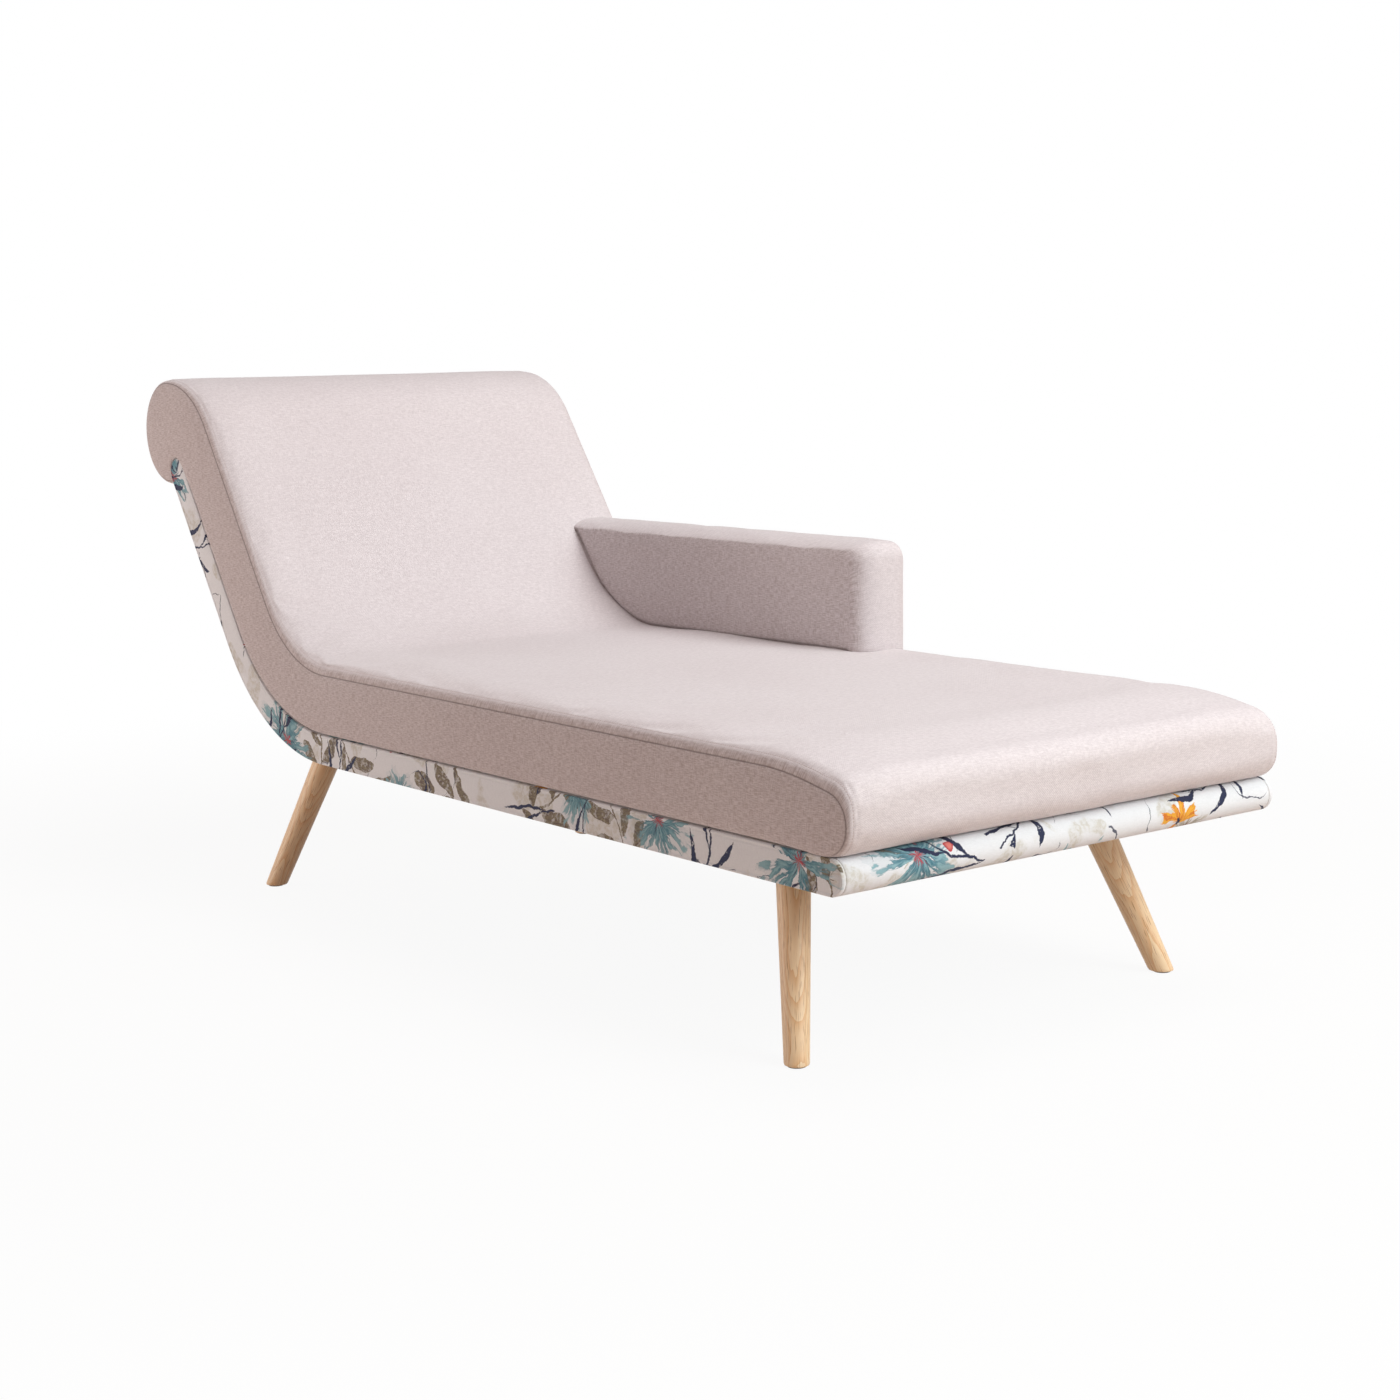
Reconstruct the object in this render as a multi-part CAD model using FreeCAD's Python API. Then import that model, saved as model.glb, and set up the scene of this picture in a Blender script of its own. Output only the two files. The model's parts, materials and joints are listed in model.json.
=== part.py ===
import math
import os

import FreeCAD
import Part

# A one-armed divan: a J-shaped padded shell on four splayed legs, a thick J-shaped pad with a
# scroll head lying in it, and one padded arm. +X is the foot end, +Y the arm's side, +Z up.
# The origin is on the floor under the middle of the whole divan.

# Plan: the sides taper a little towards the head
foot_end_width = 800.0
head_end_width = 732.0

# Shell
underside_height = 245.0
shell_thickness = 47.0
seat_length = 1208.0
bend_radius = 320.0
recline_angle = 56.0
back_length = 320.0
cover_thickness = 3.0
deck_ply = 5.0
belly_ply = 5.0
shell_rail_width = 36.0
nosing_depth = 45.0
cross_rail_width = 60.0
leg_rail_width = 96.0

# Opening of the wrapped cover under the seat, and the dust cover over it
dust_cover_thickness = 1.0
dust_opening_edge = 75.0
dust_cover_lap = 20.0

# Pad
seat_pad_depth = 97.0
back_pad_depth = 109.0
pad_bend_radius = 215.0
pad_foot_overhang = 6.5
pad_foot_fall = 23.0
pad_foot_fall_length = 113.0
pad_fall_radius = 150.0
pad_foot_top_radius = 40.0
pad_foot_bottom_radius = 38.0
pad_foot_lip = 6.0
seat_crown = 25.0
back_crown = 20.0
foot_bulge = 9.0
crown_shoulder = 110.0

# Scroll at the head of the pad
roll_radius = 84.0
roll_rise = 151.0
roll_reach = 115.0
roll_crown = 6.0
crest_radius = 160.0
roll_former_radius = 38.0
roll_former_wall = 5.0
scroll_plate_radius = 54.0
scroll_neck = 60.0

# Frame inside the pad
pad_edge_foam = 8.0
pad_board_width = 26.0
pad_board_depth = 56.0
pad_rail_width = 45.0
pad_rail_depth = 44.0
pad_foot_foam = 46.0
webbing_thickness = 2.0
webbing_width = 60.0
webbing_pitch = 92.0

# Arm
arm_thickness = 104.0
arm_side_inset = 1.5
arm_reach = 530.0
arm_height = 274.0
arm_crown = 17.0
arm_front_radius = 26.0
arm_front_bulge = 5.0
arm_corner_radius = 26.0
arm_foam = 22.0
arm_board = 8.0
arm_board_inset = 10.0
arm_rail_depth = 30.0
arm_post_width = 40.0

# Legs
leg_top_radius = 23.5
leg_foot_radius = 16.5
leg_foot_inset = 51.0
front_foot_setback = 122.0
rear_foot_setback = 265.0
leg_splay_along = 19.3
leg_splay_across = 16.2
glide_radius = 12.0
glide_thickness = 2.0
leg_sides = 24
leg_clearance = 1.0

# Fasteners: dowel screws into the legs, coach screws for the arm and the pad
screw_radius = 4.0
screw_gap = 0.1
dowel_in_leg = 45.0
dowel_in_rail = 32.0
screw_head_radius = 8.0
screw_head_height = 2.8
arm_head_height = 6.0
arm_screw_setback = 130.0
arm_screw_pitch = 290.0
arm_screw_inset = 30.0
arm_screw_bite = 24.0
pad_screw_edge = 150.0
pad_screw_bite = 36.0
joint_gap = 0.1

overrun = 20.0
crown_shares = (0.0, 0.48, 0.83, 1.0)
crown_place_shares = (0.0, 0.11, 0.42, 1.0)
arm_crown_shares = (0.0, 0.6, 1.0, 1.0, 0.6, 0.0)
arm_place_shares = (0.0, 0.1, 0.32, 0.68, 0.9, 1.0)
pad_rail_shares = (0.27, 0.56, 0.84)
sunk_share = 0.5
back_rail_share = 0.55


# Derived places
lean = math.radians(recline_angle)
deck_z = underside_height + shell_thickness
arc_length = bend_radius * lean
end_radius = shell_thickness / 2
# reach of the head and the foot from the start of the bend
head_run = bend_radius * math.sin(lean) + back_length * math.cos(lean) + end_radius * math.sin(lean)
head_reach = head_run + roll_reach + roll_crown
foot_reach = seat_length + end_radius + pad_foot_overhang + foot_bulge
bend_x = (head_reach - foot_reach) / 2
foot_x = bend_x + foot_reach - foot_bulge
roll_x = bend_x - head_reach + roll_crown
run_end = arc_length + back_length


def side(x):
    taper = (foot_end_width - head_end_width) / 2 / (foot_x - roll_x)
    return head_end_width / 2 + taper * (x - roll_x)


def path_point(run, rise):
    # run is measured along the shell's upper face from the start of the bend, positive towards
    # the head, and rise square to that face, positive towards the sitter
    radius = bend_radius - rise
    if run <= 0:
        return bend_x - run, deck_z + rise
    turn = min(run / bend_radius, lean)
    x = bend_x - radius * math.sin(turn)
    z = deck_z + bend_radius - radius * math.cos(turn)
    beyond = max(run - arc_length, 0)
    return x - beyond * math.cos(lean), z + beyond * math.sin(lean)


head_centre = path_point(run_end, -end_radius)
roll_top_z = head_centre[1] + roll_rise
roll_centre_x = roll_x + roll_radius
roll_centre_z = roll_top_z - roll_radius
widest = max(foot_end_width, head_end_width) / 2 + overrun
arm_front_x = bend_x + arm_reach
arm_top_z = deck_z + arm_height


def flat(point, y=0.0):
    return FreeCAD.Vector(point[0], y, point[1])


def path_edges(rise, start, stop):
    marks = [start, stop]
    for mark in (0.0, arc_length):
        if start + joint_gap < mark < stop - joint_gap:
            marks.append(mark)
    marks.sort()
    edges = []
    for low, high in zip(marks[:-1], marks[1:]):
        first = flat(path_point(low, rise))
        last = flat(path_point(high, rise))
        curved = 0 < (low + high) / 2 < arc_length
        if curved:
            middle = flat(path_point((low + high) / 2, rise))
            edges.append(Part.Arc(first, middle, last).toShape())
        else:
            edges.append(Part.LineSegment(first, last).toShape())
    return edges


def across(edges):
    # a closed outline in the XZ plane becomes a solid across the whole width
    wire = Part.Wire(Part.__sortEdges__(edges))
    face = Part.Face(wire)
    face.translate(FreeCAD.Vector(0, -widest, 0))
    return face.extrude(FreeCAD.Vector(0, widest * 2, 0))


def band(low, high, start, stop, round_start=False, round_stop=False):
    edges = path_edges(low, start, stop) + path_edges(high, start, stop)
    for run, rounded, way in ((start, round_start, -1), (stop, round_stop, 1)):
        first = flat(path_point(run, low))
        last = flat(path_point(run, high))
        if rounded:
            tip = flat(path_point(run + way * (high - low) / 2, (low + high) / 2))
            edges.append(Part.Arc(first, tip, last).toShape())
        else:
            edges.append(Part.LineSegment(first, last).toShape())
    return across(edges)


def plan_solid(corners):
    points = [FreeCAD.Vector(x, y, -overrun) for x, y in corners]
    wire = Part.makePolygon(points + points[:1])
    tall = roll_top_z + roll_crown + overrun * 2
    return Part.Face(wire).extrude(FreeCAD.Vector(0, 0, tall))


plan_low = roll_x - roll_crown - overrun
plan_high = foot_x + foot_bulge + overrun


def core_zone(inset, low=None, high=None):
    low = plan_low if low is None else low
    high = plan_high if high is None else high
    near = side(low) - inset
    far = side(high) - inset
    return plan_solid([(low, -near), (high, -far), (high, far), (low, near)])


def side_zone(hand, outer, inner, low=None, high=None):
    low = plan_low if low is None else low
    high = plan_high if high is None else high
    corners = []
    for x, inset in ((low, outer), (high, outer), (high, inner), (low, inner)):
        corners.append((x, hand * (side(x) - inset)))
    return plan_solid(corners)


def rounded_corners(corners):
    # corners are (x, z, radius); gives the straight and curved pieces as lists of points
    count = len(corners)
    starts = []
    stops = []
    middles = []
    for index in range(count):
        x, z, radius = corners[index]
        before = corners[index - 1]
        after = corners[(index + 1) % count]
        a = FreeCAD.Vector(before[0] - x, 0, before[1] - z).normalize()
        b = FreeCAD.Vector(after[0] - x, 0, after[1] - z).normalize()
        here = FreeCAD.Vector(x, 0, z)
        if radius == 0:
            starts.append(here)
            stops.append(here)
            middles.append(None)
            continue
        half = a.getAngle(b) / 2
        reach = radius / math.tan(half)
        bisector = (a + b).normalize()
        centre = here + bisector * (radius / math.sin(half))
        starts.append(here + a * reach)
        stops.append(here + b * reach)
        middles.append(centre - bisector * radius)
    pieces = []
    for index in range(count):
        if middles[index] is not None:
            pieces.append((starts[index], middles[index], stops[index]))
        after = (index + 1) % count
        if stops[index].distanceToPoint(starts[after]) > joint_gap:
            pieces.append((stops[index], starts[after]))
    return pieces


def station_wire(pieces, share, inset):
    # lays an XZ outline in the upright plane at a share of the half width
    edges = []
    for piece in pieces:
        points = []
        for point in piece:
            y = share * (side(point.x) - inset)
            points.append(FreeCAD.Vector(point.x, y, point.z))
        if len(points) == 3:
            edges.append(Part.Arc(*points).toShape())
        else:
            edges.append(Part.LineSegment(*points).toShape())
    return Part.Wire(edges)


def cross_point(level, rise):
    # where the level line at that height meets the back's line at that rise
    x, z = path_point(run_end, rise)
    return x + (z - level) / math.tan(lean), level


def pad_corners(crown, skin, sunk):
    # outline of the pad, from its foot end over the seat, back and scroll, then down inside
    # the shell, which is cut off it afterwards
    seat_z = deck_z + seat_pad_depth + crown * seat_crown - skin
    back_rise = back_pad_depth + crown * back_crown - skin
    front_x = foot_x + crown * foot_bulge - skin
    top_z = roll_top_z + crown * roll_crown - skin
    tail_x = roll_x - crown * roll_crown + skin
    radius = roll_radius + crown * roll_crown - skin
    low_z = top_z - radius * 2
    lip_x = foot_x - pad_foot_bottom_radius - pad_foot_lip
    corners = []
    corners.append((lip_x, deck_z - sunk, 0))
    corners.append((lip_x, deck_z + skin, 0))
    corners.append((front_x, deck_z + skin, pad_foot_bottom_radius - skin))
    corners.append((front_x, seat_z - pad_foot_fall, pad_foot_top_radius - skin))
    corners.append((front_x - pad_foot_fall_length, seat_z, pad_fall_radius))
    bend = cross_point(seat_z, back_rise)
    corners.append((bend[0], bend[1], pad_bend_radius))
    crest = cross_point(top_z, back_rise)
    corners.append((crest[0], crest[1], crest_radius))
    corners.append((tail_x, top_z, radius))
    corners.append((tail_x, low_z, radius))
    tuck = cross_point(low_z, -sunk)
    corners.append((tuck[0], tuck[1], 0))
    knee = cross_point(deck_z - sunk, -sunk)
    corners.append((knee[0], knee[1], bend_radius + sunk))
    return corners


def pad_loft(skin, sunk, steps):
    wires = []
    for hand in (-1, 1):
        rows = steps if hand == -1 else steps[::-1]
        for crown, place in rows:
            inset = cover_thickness + place * crown_shoulder
            pieces = rounded_corners(pad_corners(crown, skin, sunk))
            wires.append(station_wire(pieces, hand, inset))
    return Part.makeLoft(wires, True, True)


def arm_loft(skin):
    wires = []
    for crown, place in zip(arm_crown_shares, arm_place_shares):
        front_x = arm_front_x - arm_corner_radius * (1 - crown) ** 2 + crown * arm_front_bulge - skin
        top_z = arm_top_z + crown * arm_crown - skin
        inset = arm_side_inset + skin + place * (arm_thickness - skin * 2)
        tail_x = path_point(run_end, 0)[0]
        corners = []
        corners.append((tail_x - skin, deck_z - skin, 0))
        corners.append((front_x, deck_z - skin, 0))
        corners.append((front_x, top_z, arm_front_radius - skin))
        corners.append((tail_x - skin, top_z, 0))
        wires.append(station_wire(rounded_corners(corners), 1, inset))
    return Part.makeLoft(wires, True, True)


def rod(foot, way, radius, start, stop):
    base = foot + way * start
    return Part.makeCylinder(radius, stop - start, base, way)


def turned_taper(foot, way, low_radius, high_radius, start, stop):
    # a tapered round piece, as flats that stay within a fraction of a millimetre of the round
    rings = []
    for place, radius in ((start, low_radius), (stop, high_radius)):
        circle = Part.makeCircle(radius, foot + way * place, way)
        rings.append(circle.discretize(leg_sides + 1))
    faces = []
    for index in range(leg_sides):
        corners = [rings[0][index], rings[0][index + 1], rings[1][index + 1], rings[1][index]]
        faces.append(Part.Face(Part.makePolygon(corners + corners[:1])))
    for ring in rings:
        loop = ring[:-1]
        faces.append(Part.Face(Part.makePolygon(loop + loop[:1])))
    return Part.Solid(Part.makeShell(faces))


def box_x(low, high, bottom, top):
    # a block across the whole width
    size = FreeCAD.Vector(low, -widest, bottom)
    return Part.makeBox(high - low, widest * 2, top - bottom, size)


# Heights within the shell, from its upper face down
deck_low = -cover_thickness - deck_ply
belly_high = -shell_thickness + cover_thickness + belly_ply
belly_low = -shell_thickness + cover_thickness
rail_inset = cover_thickness + shell_rail_width
nosing_start = -seat_length
nodes = {}

# Legs: each stands on its foot and leans in towards the middle
legs = {}
lean_along = math.tan(math.radians(leg_splay_along))
lean_across = math.tan(math.radians(leg_splay_across))
front_foot_x = bend_x + seat_length - front_foot_setback
rear_foot_x = bend_x - rear_foot_setback
for name, x, along, hand in (
    ("front_near", front_foot_x, -1, -1),
    ("front_far", front_foot_x, -1, 1),
    ("rear_near", rear_foot_x, 1, -1),
    ("rear_far", rear_foot_x, 1, 1),
):
    foot = FreeCAD.Vector(x, hand * (side(x) - leg_foot_inset), 0)
    way = FreeCAD.Vector(along * lean_along, -hand * lean_across, 1).normalize()
    legs[name] = (foot, way)

above_belly = band(belly_low, back_pad_depth, -seat_length, run_end)


def leg_length(foot, way):
    # from the foot up the leg's axis to the belly panel
    axis = Part.makeLine(foot, foot + way * deck_z * 2)
    hit = axis.common(above_belly)
    return min((vertex.Point - foot).Length for vertex in hit.Vertexes)


leg_lengths = {}
for name, (foot, way) in legs.items():
    leg_lengths[name] = leg_length(foot, way)

# Shell: nosings, rails and bent plywood skins
shell_core = core_zone(cover_thickness)
between_rails = core_zone(rail_inset)
foot_nosing = band(belly_low, -cover_thickness, nosing_start, nosing_start + joint_gap, True, False)
foot_tongue = band(belly_high, deck_low, nosing_start, nosing_start + nosing_depth)
head_nosing = band(belly_low, -cover_thickness, run_end - joint_gap, run_end, False, True)
head_tongue = band(belly_high, deck_low, run_end - nosing_depth, run_end)
nodes["shell_foot_nosing"] = foot_nosing.fuse(foot_tongue).removeSplitter().common(shell_core)
nodes["shell_head_nosing"] = head_nosing.fuse(head_tongue).removeSplitter().common(shell_core)
rail_band = band(belly_high, deck_low, nosing_start + nosing_depth, run_end - nosing_depth)
for name, hand in (("near", -1), ("far", 1)):
    zone = side_zone(hand, cover_thickness, rail_inset)
    nodes["shell_side_rail_" + name] = rail_band.common(zone)
skin_start = nosing_start + joint_gap
skin_stop = run_end - joint_gap
nodes["shell_deck_panel"] = band(deck_low, -cover_thickness, skin_start, skin_stop).common(shell_core)
nodes["shell_belly_panel"] = band(belly_low, belly_high, skin_start, skin_stop).common(shell_core)


def shell_rail(centre, width):
    return band(belly_high, deck_low, centre - width / 2, centre + width / 2).common(between_rails)


def leg_run(name):
    foot, way = legs[name]
    point = foot + way * leg_lengths[name]
    drop = math.atan2(bend_x - point.x, deck_z + bend_radius - point.z)
    if point.x >= bend_x:
        return bend_x - point.x
    return drop * bend_radius


front_leg_run = leg_run("front_near")
rear_leg_run = leg_run("rear_near")
back_rail_run = arc_length + back_length * back_rail_share
nodes["shell_front_leg_rail"] = shell_rail(front_leg_run, leg_rail_width)
nodes["shell_rear_leg_rail"] = shell_rail(rear_leg_run, leg_rail_width)
nodes["shell_back_rail"] = shell_rail(back_rail_run, cross_rail_width)

# Shell cover: one wrap round the panels and nosings, a band on each side, a dust cover below
envelope = band(-shell_thickness, 0.0, nosing_start, run_end, True, True)
wrap_inside = band(belly_low, -cover_thickness, nosing_start, run_end, True, True)
wrap = envelope.cut(wrap_inside).common(shell_core)
opening_low = bend_x + dust_opening_edge / 2
opening_high = bend_x + seat_length - dust_opening_edge
opening = core_zone(dust_opening_edge, opening_low, opening_high)
opening = opening.common(box_x(opening_low, opening_high, 0, deck_z + belly_high))
nodes["shell_wrap_cover"] = wrap.cut(opening)
for name, hand in (("near", -1), ("far", 1)):
    nodes["shell_side_band_" + name] = envelope.common(side_zone(hand, 0, cover_thickness))
dust_edge = dust_opening_edge - dust_cover_lap
dust = core_zone(dust_edge, opening_low - dust_cover_lap, opening_high + dust_cover_lap)
dust_low = underside_height - dust_cover_thickness
dust = dust.common(box_x(plan_low, plan_high, dust_low, underside_height))
nodes["shell_dust_cover"] = dust

# Legs, the dowel screws that hold them, and the glides
dowels = []
glides = []
for name, (foot, way) in legs.items():
    reach = leg_lengths[name]
    slope = (leg_top_radius - leg_foot_radius) / reach
    low = -overrun
    high = reach + overrun * 2
    low_radius = leg_foot_radius + slope * low
    high_radius = leg_foot_radius + slope * high
    taper = turned_taper(foot, way, low_radius, high_radius, low, high)
    below = box_x(plan_low, plan_high, -overrun * 2, glide_thickness)
    leg = taper.cut(below).cut(above_belly)
    hole = rod(foot, way, screw_radius + screw_gap, reach - dowel_in_leg, reach + dowel_in_rail)
    nodes["leg_" + name] = leg.cut(hole)
    glides.append(Part.makeCylinder(glide_radius, glide_thickness, foot))
    dowels.append(rod(foot, way, screw_radius, reach - dowel_in_leg, reach + dowel_in_rail))
    rail_name = "shell_front_leg_rail" if name.startswith("front") else "shell_rear_leg_rail"
    for key in (rail_name, "shell_belly_panel"):
        nodes[key] = nodes[key].cut(hole)
    wide_low = low_radius + leg_clearance
    wide_high = high_radius + leg_clearance
    slot = turned_taper(foot, way, wide_low, wide_high, low, high).cut(above_belly)
    key = "shell_dust_cover" if name.startswith("front") else "shell_wrap_cover"
    nodes[key] = nodes[key].cut(slot)
nodes["leg_dowel_screws"] = Part.makeCompound(dowels)
nodes["leg_glides"] = Part.makeCompound(glides)

# Pad: its soft body and cover are lofts, crowned between the two side panels
pad_sunk = shell_thickness * sunk_share
crown_steps = list(zip(crown_shares, crown_place_shares))
pad_outer = pad_loft(0.0, pad_sunk, crown_steps)
pad_inner = pad_loft(cover_thickness, pad_sunk + cover_thickness, crown_steps[:1] + crown_steps[2:])
seam_outline = rounded_corners(pad_corners(0.0, 0.0, pad_sunk))
seam_edges = []
for piece in seam_outline:
    if len(piece) == 3:
        seam_edges.append(Part.Arc(*piece).toShape())
    else:
        seam_edges.append(Part.LineSegment(*piece).toShape())
pad_side = across(seam_edges)
panels = {}
for name, hand in (("near", -1), ("far", 1)):
    panels[name] = pad_side.common(side_zone(hand, 0, cover_thickness))
    nodes["pad_side_panel_" + name] = panels[name].cut(envelope)

# Frame inside the pad: scroll-headed side boards, rails, former and webbing
board_outer = cover_thickness + pad_edge_foam
board_inner = board_outer + pad_board_width
frame_start = -seat_length - end_radius - pad_foot_overhang + pad_foot_foam
board_band = band(0.0, pad_board_depth, frame_start, run_end + scroll_neck)
former_base = FreeCAD.Vector(roll_centre_x, -widest, roll_centre_z)
along_y = FreeCAD.Vector(0, 1, 0)
scroll = Part.makeCylinder(scroll_plate_radius, widest * 2, former_base, along_y)
board_shape = board_band.fuse(scroll).removeSplitter().cut(envelope)
for name, hand in (("near", -1), ("far", 1)):
    nodes["pad_side_board_" + name] = board_shape.common(side_zone(hand, board_outer, board_inner))
inside_boards = core_zone(board_inner)


def pad_rail(start, width):
    return band(0.0, pad_rail_depth, start, start + width).common(inside_boards)


nodes["pad_foot_rail"] = pad_rail(frame_start, pad_rail_width)
pad_rail_runs = [frame_start * (1 - share) for share in pad_rail_shares]
rails = [pad_rail(run - pad_rail_width / 2, pad_rail_width) for run in pad_rail_runs]
pad_rails = Part.makeCompound(rails)
nodes["pad_knee_rail"] = pad_rail(arc_length / 2 - pad_rail_width / 2, pad_rail_width)
nodes["pad_lumbar_rail"] = pad_rail(arc_length + back_length / 4, pad_rail_width)
nodes["pad_head_rail"] = pad_rail(run_end - pad_rail_width, pad_rail_width)
former = Part.makeCylinder(roll_former_radius, widest * 2, former_base, along_y)
bore = Part.makeCylinder(roll_former_radius - roll_former_wall, widest * 2, former_base, along_y)
nodes["pad_scroll_former"] = former.cut(bore).common(inside_boards)


def webbing(start, stop):
    room = stop - start - webbing_width
    count = max(int(room / webbing_pitch) + 1, 2)
    straps = []
    for index in range(count):
        low = start + room * index / (count - 1)
        strap = band(pad_board_depth, pad_board_depth + webbing_thickness, low, low + webbing_width)
        straps.append(strap.common(core_zone(board_outer)))
    return straps


nodes["pad_seat_webbing"] = Part.makeCompound(webbing(frame_start, 0.0))
nodes["pad_back_webbing"] = Part.makeCompound(webbing(webbing_width / 2, run_end - webbing_width))

# Foam and cover of the pad
frame_top = pad_board_depth + webbing_thickness
frame_block = band(-shell_thickness, frame_top, frame_start, run_end + scroll_neck)
frame_block = frame_block.fuse(scroll).removeSplitter().common(core_zone(board_outer))
nodes["pad_cover"] = pad_outer.cut(pad_inner).cut(envelope)
nodes["pad_foam"] = pad_inner.cut(envelope).cut(frame_block)

# Arm: boards and rails scribed to the pad, foam and cover
arm_outer = arm_loft(0.0)
arm_inner = arm_loft(cover_thickness)
board_far = arm_thickness - arm_board_inset
arm_block_front = arm_front_x - arm_foam
arm_block_top = arm_top_z - arm_foam
arm_rear_x = path_point(run_end, 0)[0]
behind_deck = band(-arm_height * 2, 0.0, nosing_start, run_end)
block = box_x(arm_rear_x, arm_block_front, deck_z, arm_block_top).cut(behind_deck)


def arm_piece(shape, outer, inner):
    return shape.common(side_zone(1, outer, inner)).cut(pad_outer).cut(panels["far"])


rail_out = arm_board_inset + arm_board
rail_in = board_far - arm_board
nodes["arm_outer_board"] = arm_piece(block, arm_board_inset, rail_out)
nodes["arm_inner_board"] = arm_piece(block, rail_in, board_far)
pad_top_rise = seat_pad_depth + seat_crown
base_start = bend_x - arm_block_front
base_band = band(0.0, pad_top_rise + arm_rail_depth, base_start, run_end)
base_shape = base_band.common(block)
top_low = arm_block_top - arm_rail_depth
post_back = arm_block_front - arm_post_width
top_shape = box_x(arm_rear_x, arm_block_front, top_low, arm_block_top).common(block).cut(base_band)
post_shape = box_x(post_back, arm_block_front, deck_z, top_low).cut(base_band)
nodes["arm_base_rail"] = arm_piece(base_shape, rail_out, rail_in)
nodes["arm_top_rail"] = arm_piece(top_shape, rail_out, rail_in)
nodes["arm_front_post"] = arm_piece(post_shape, rail_out, rail_in)
arm_hollow = block.common(side_zone(1, arm_board_inset, board_far))
nodes["arm_foam"] = arm_inner.cut(behind_deck).cut(arm_hollow).cut(pad_outer)
nodes["arm_cover"] = arm_outer.cut(arm_inner).cut(behind_deck).cut(pad_outer).cut(panels["far"])

# Coach screws that hold the arm to the pad's side board
upright = FreeCAD.Vector(0, 0, 1)
arm_screws = []
for index in range(2):
    x = arm_front_x - arm_screw_setback - arm_screw_pitch * index
    base = FreeCAD.Vector(x, side(x) - arm_screw_inset, 0)
    head_top = deck_z + arm_head_height
    stop = deck_z + pad_top_rise + arm_screw_bite
    head = rod(base, upright, screw_head_radius, deck_z, head_top)
    shank = rod(base, upright, screw_radius, head_top, stop)
    arm_screws.append(head.fuse(shank).removeSplitter())
    hole = rod(base, upright, screw_radius + screw_gap, deck_z - overrun, stop)
    seat = rod(base, upright, screw_head_radius + screw_gap, deck_z - overrun, head_top)
    for key in ("pad_side_board_far", "pad_foam", "pad_cover", "pad_seat_webbing", "arm_base_rail"):
        nodes[key] = nodes[key].cut(hole)
    nodes["pad_side_board_far"] = nodes["pad_side_board_far"].cut(seat)
nodes["arm_coach_screws"] = Part.makeCompound(arm_screws)

# Coach screws that hold the pad to the shell
pad_screws = []
screw_run = pad_rail_runs[1]
nodes["shell_mid_rail"] = shell_rail(screw_run, cross_rail_width)
for hand in (-1, 1):
    x = path_point(screw_run, 0)[0]
    base = FreeCAD.Vector(x, hand * (side(x) - pad_screw_edge), 0)
    head_top = deck_z + belly_low
    stop = deck_z + pad_screw_bite
    head = rod(base, upright, screw_head_radius, head_top - screw_head_height, head_top)
    shank = rod(base, upright, screw_radius, head_top, stop)
    pad_screws.append(head.fuse(shank).removeSplitter())
    hole = rod(base, upright, screw_radius + screw_gap, 0, stop)
    for key in ("shell_belly_panel", "shell_mid_rail", "shell_deck_panel", "shell_wrap_cover"):
        nodes[key] = nodes[key].cut(hole)
    pad_rails = pad_rails.cut(hole)
nodes["pad_seat_rails"] = pad_rails
nodes["pad_coach_screws"] = Part.makeCompound(pad_screws)

os.makedirs("parts", exist_ok=True)
total = Part.makeCompound(list(nodes.values()))
box = total.BoundBox
print("size", round(box.XLength, 1), round(box.YLength, 1), round(box.ZLength, 1))
print("x", round(box.XMin, 1), round(box.XMax, 1), "y", round(box.YMin, 1), round(box.YMax, 1))
for name, shape in nodes.items():
    solids = shape.Solids
    volume = sum(solid.Volume for solid in solids) / 1000
    print(name, len(solids), "solids", round(volume, 1), "cm3", "valid", shape.isValid())
    kept = solids[0] if len(solids) == 1 else Part.makeCompound(solids)
    kept.exportStep("parts/" + name + ".step")
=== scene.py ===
import json
import math

import bmesh
import bpy
import numpy as np
from mathutils import Matrix, Vector
from mathutils.kdtree import KDTree

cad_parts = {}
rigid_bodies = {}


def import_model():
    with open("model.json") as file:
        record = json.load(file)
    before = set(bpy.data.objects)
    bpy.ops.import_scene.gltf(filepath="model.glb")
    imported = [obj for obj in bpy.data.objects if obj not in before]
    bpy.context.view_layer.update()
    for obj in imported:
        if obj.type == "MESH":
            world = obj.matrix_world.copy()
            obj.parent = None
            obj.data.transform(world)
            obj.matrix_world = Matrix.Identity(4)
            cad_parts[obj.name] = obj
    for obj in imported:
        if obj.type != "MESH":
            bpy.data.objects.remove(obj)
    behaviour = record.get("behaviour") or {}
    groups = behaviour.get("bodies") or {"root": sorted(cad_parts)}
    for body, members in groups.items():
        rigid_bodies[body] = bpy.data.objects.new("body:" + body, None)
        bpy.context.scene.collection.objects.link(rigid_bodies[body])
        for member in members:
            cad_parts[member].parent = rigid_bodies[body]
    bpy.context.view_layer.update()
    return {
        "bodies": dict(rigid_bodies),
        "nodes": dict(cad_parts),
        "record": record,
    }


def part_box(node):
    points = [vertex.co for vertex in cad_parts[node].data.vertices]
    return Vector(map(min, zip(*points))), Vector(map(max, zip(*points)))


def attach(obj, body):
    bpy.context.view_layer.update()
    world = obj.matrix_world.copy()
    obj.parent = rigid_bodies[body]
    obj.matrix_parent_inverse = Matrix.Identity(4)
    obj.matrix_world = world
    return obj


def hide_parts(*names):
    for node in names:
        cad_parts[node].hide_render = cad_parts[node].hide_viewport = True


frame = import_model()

nodes = frame["nodes"]
print("divan: frame loaded,", len(nodes), "CAD nodes")

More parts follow.
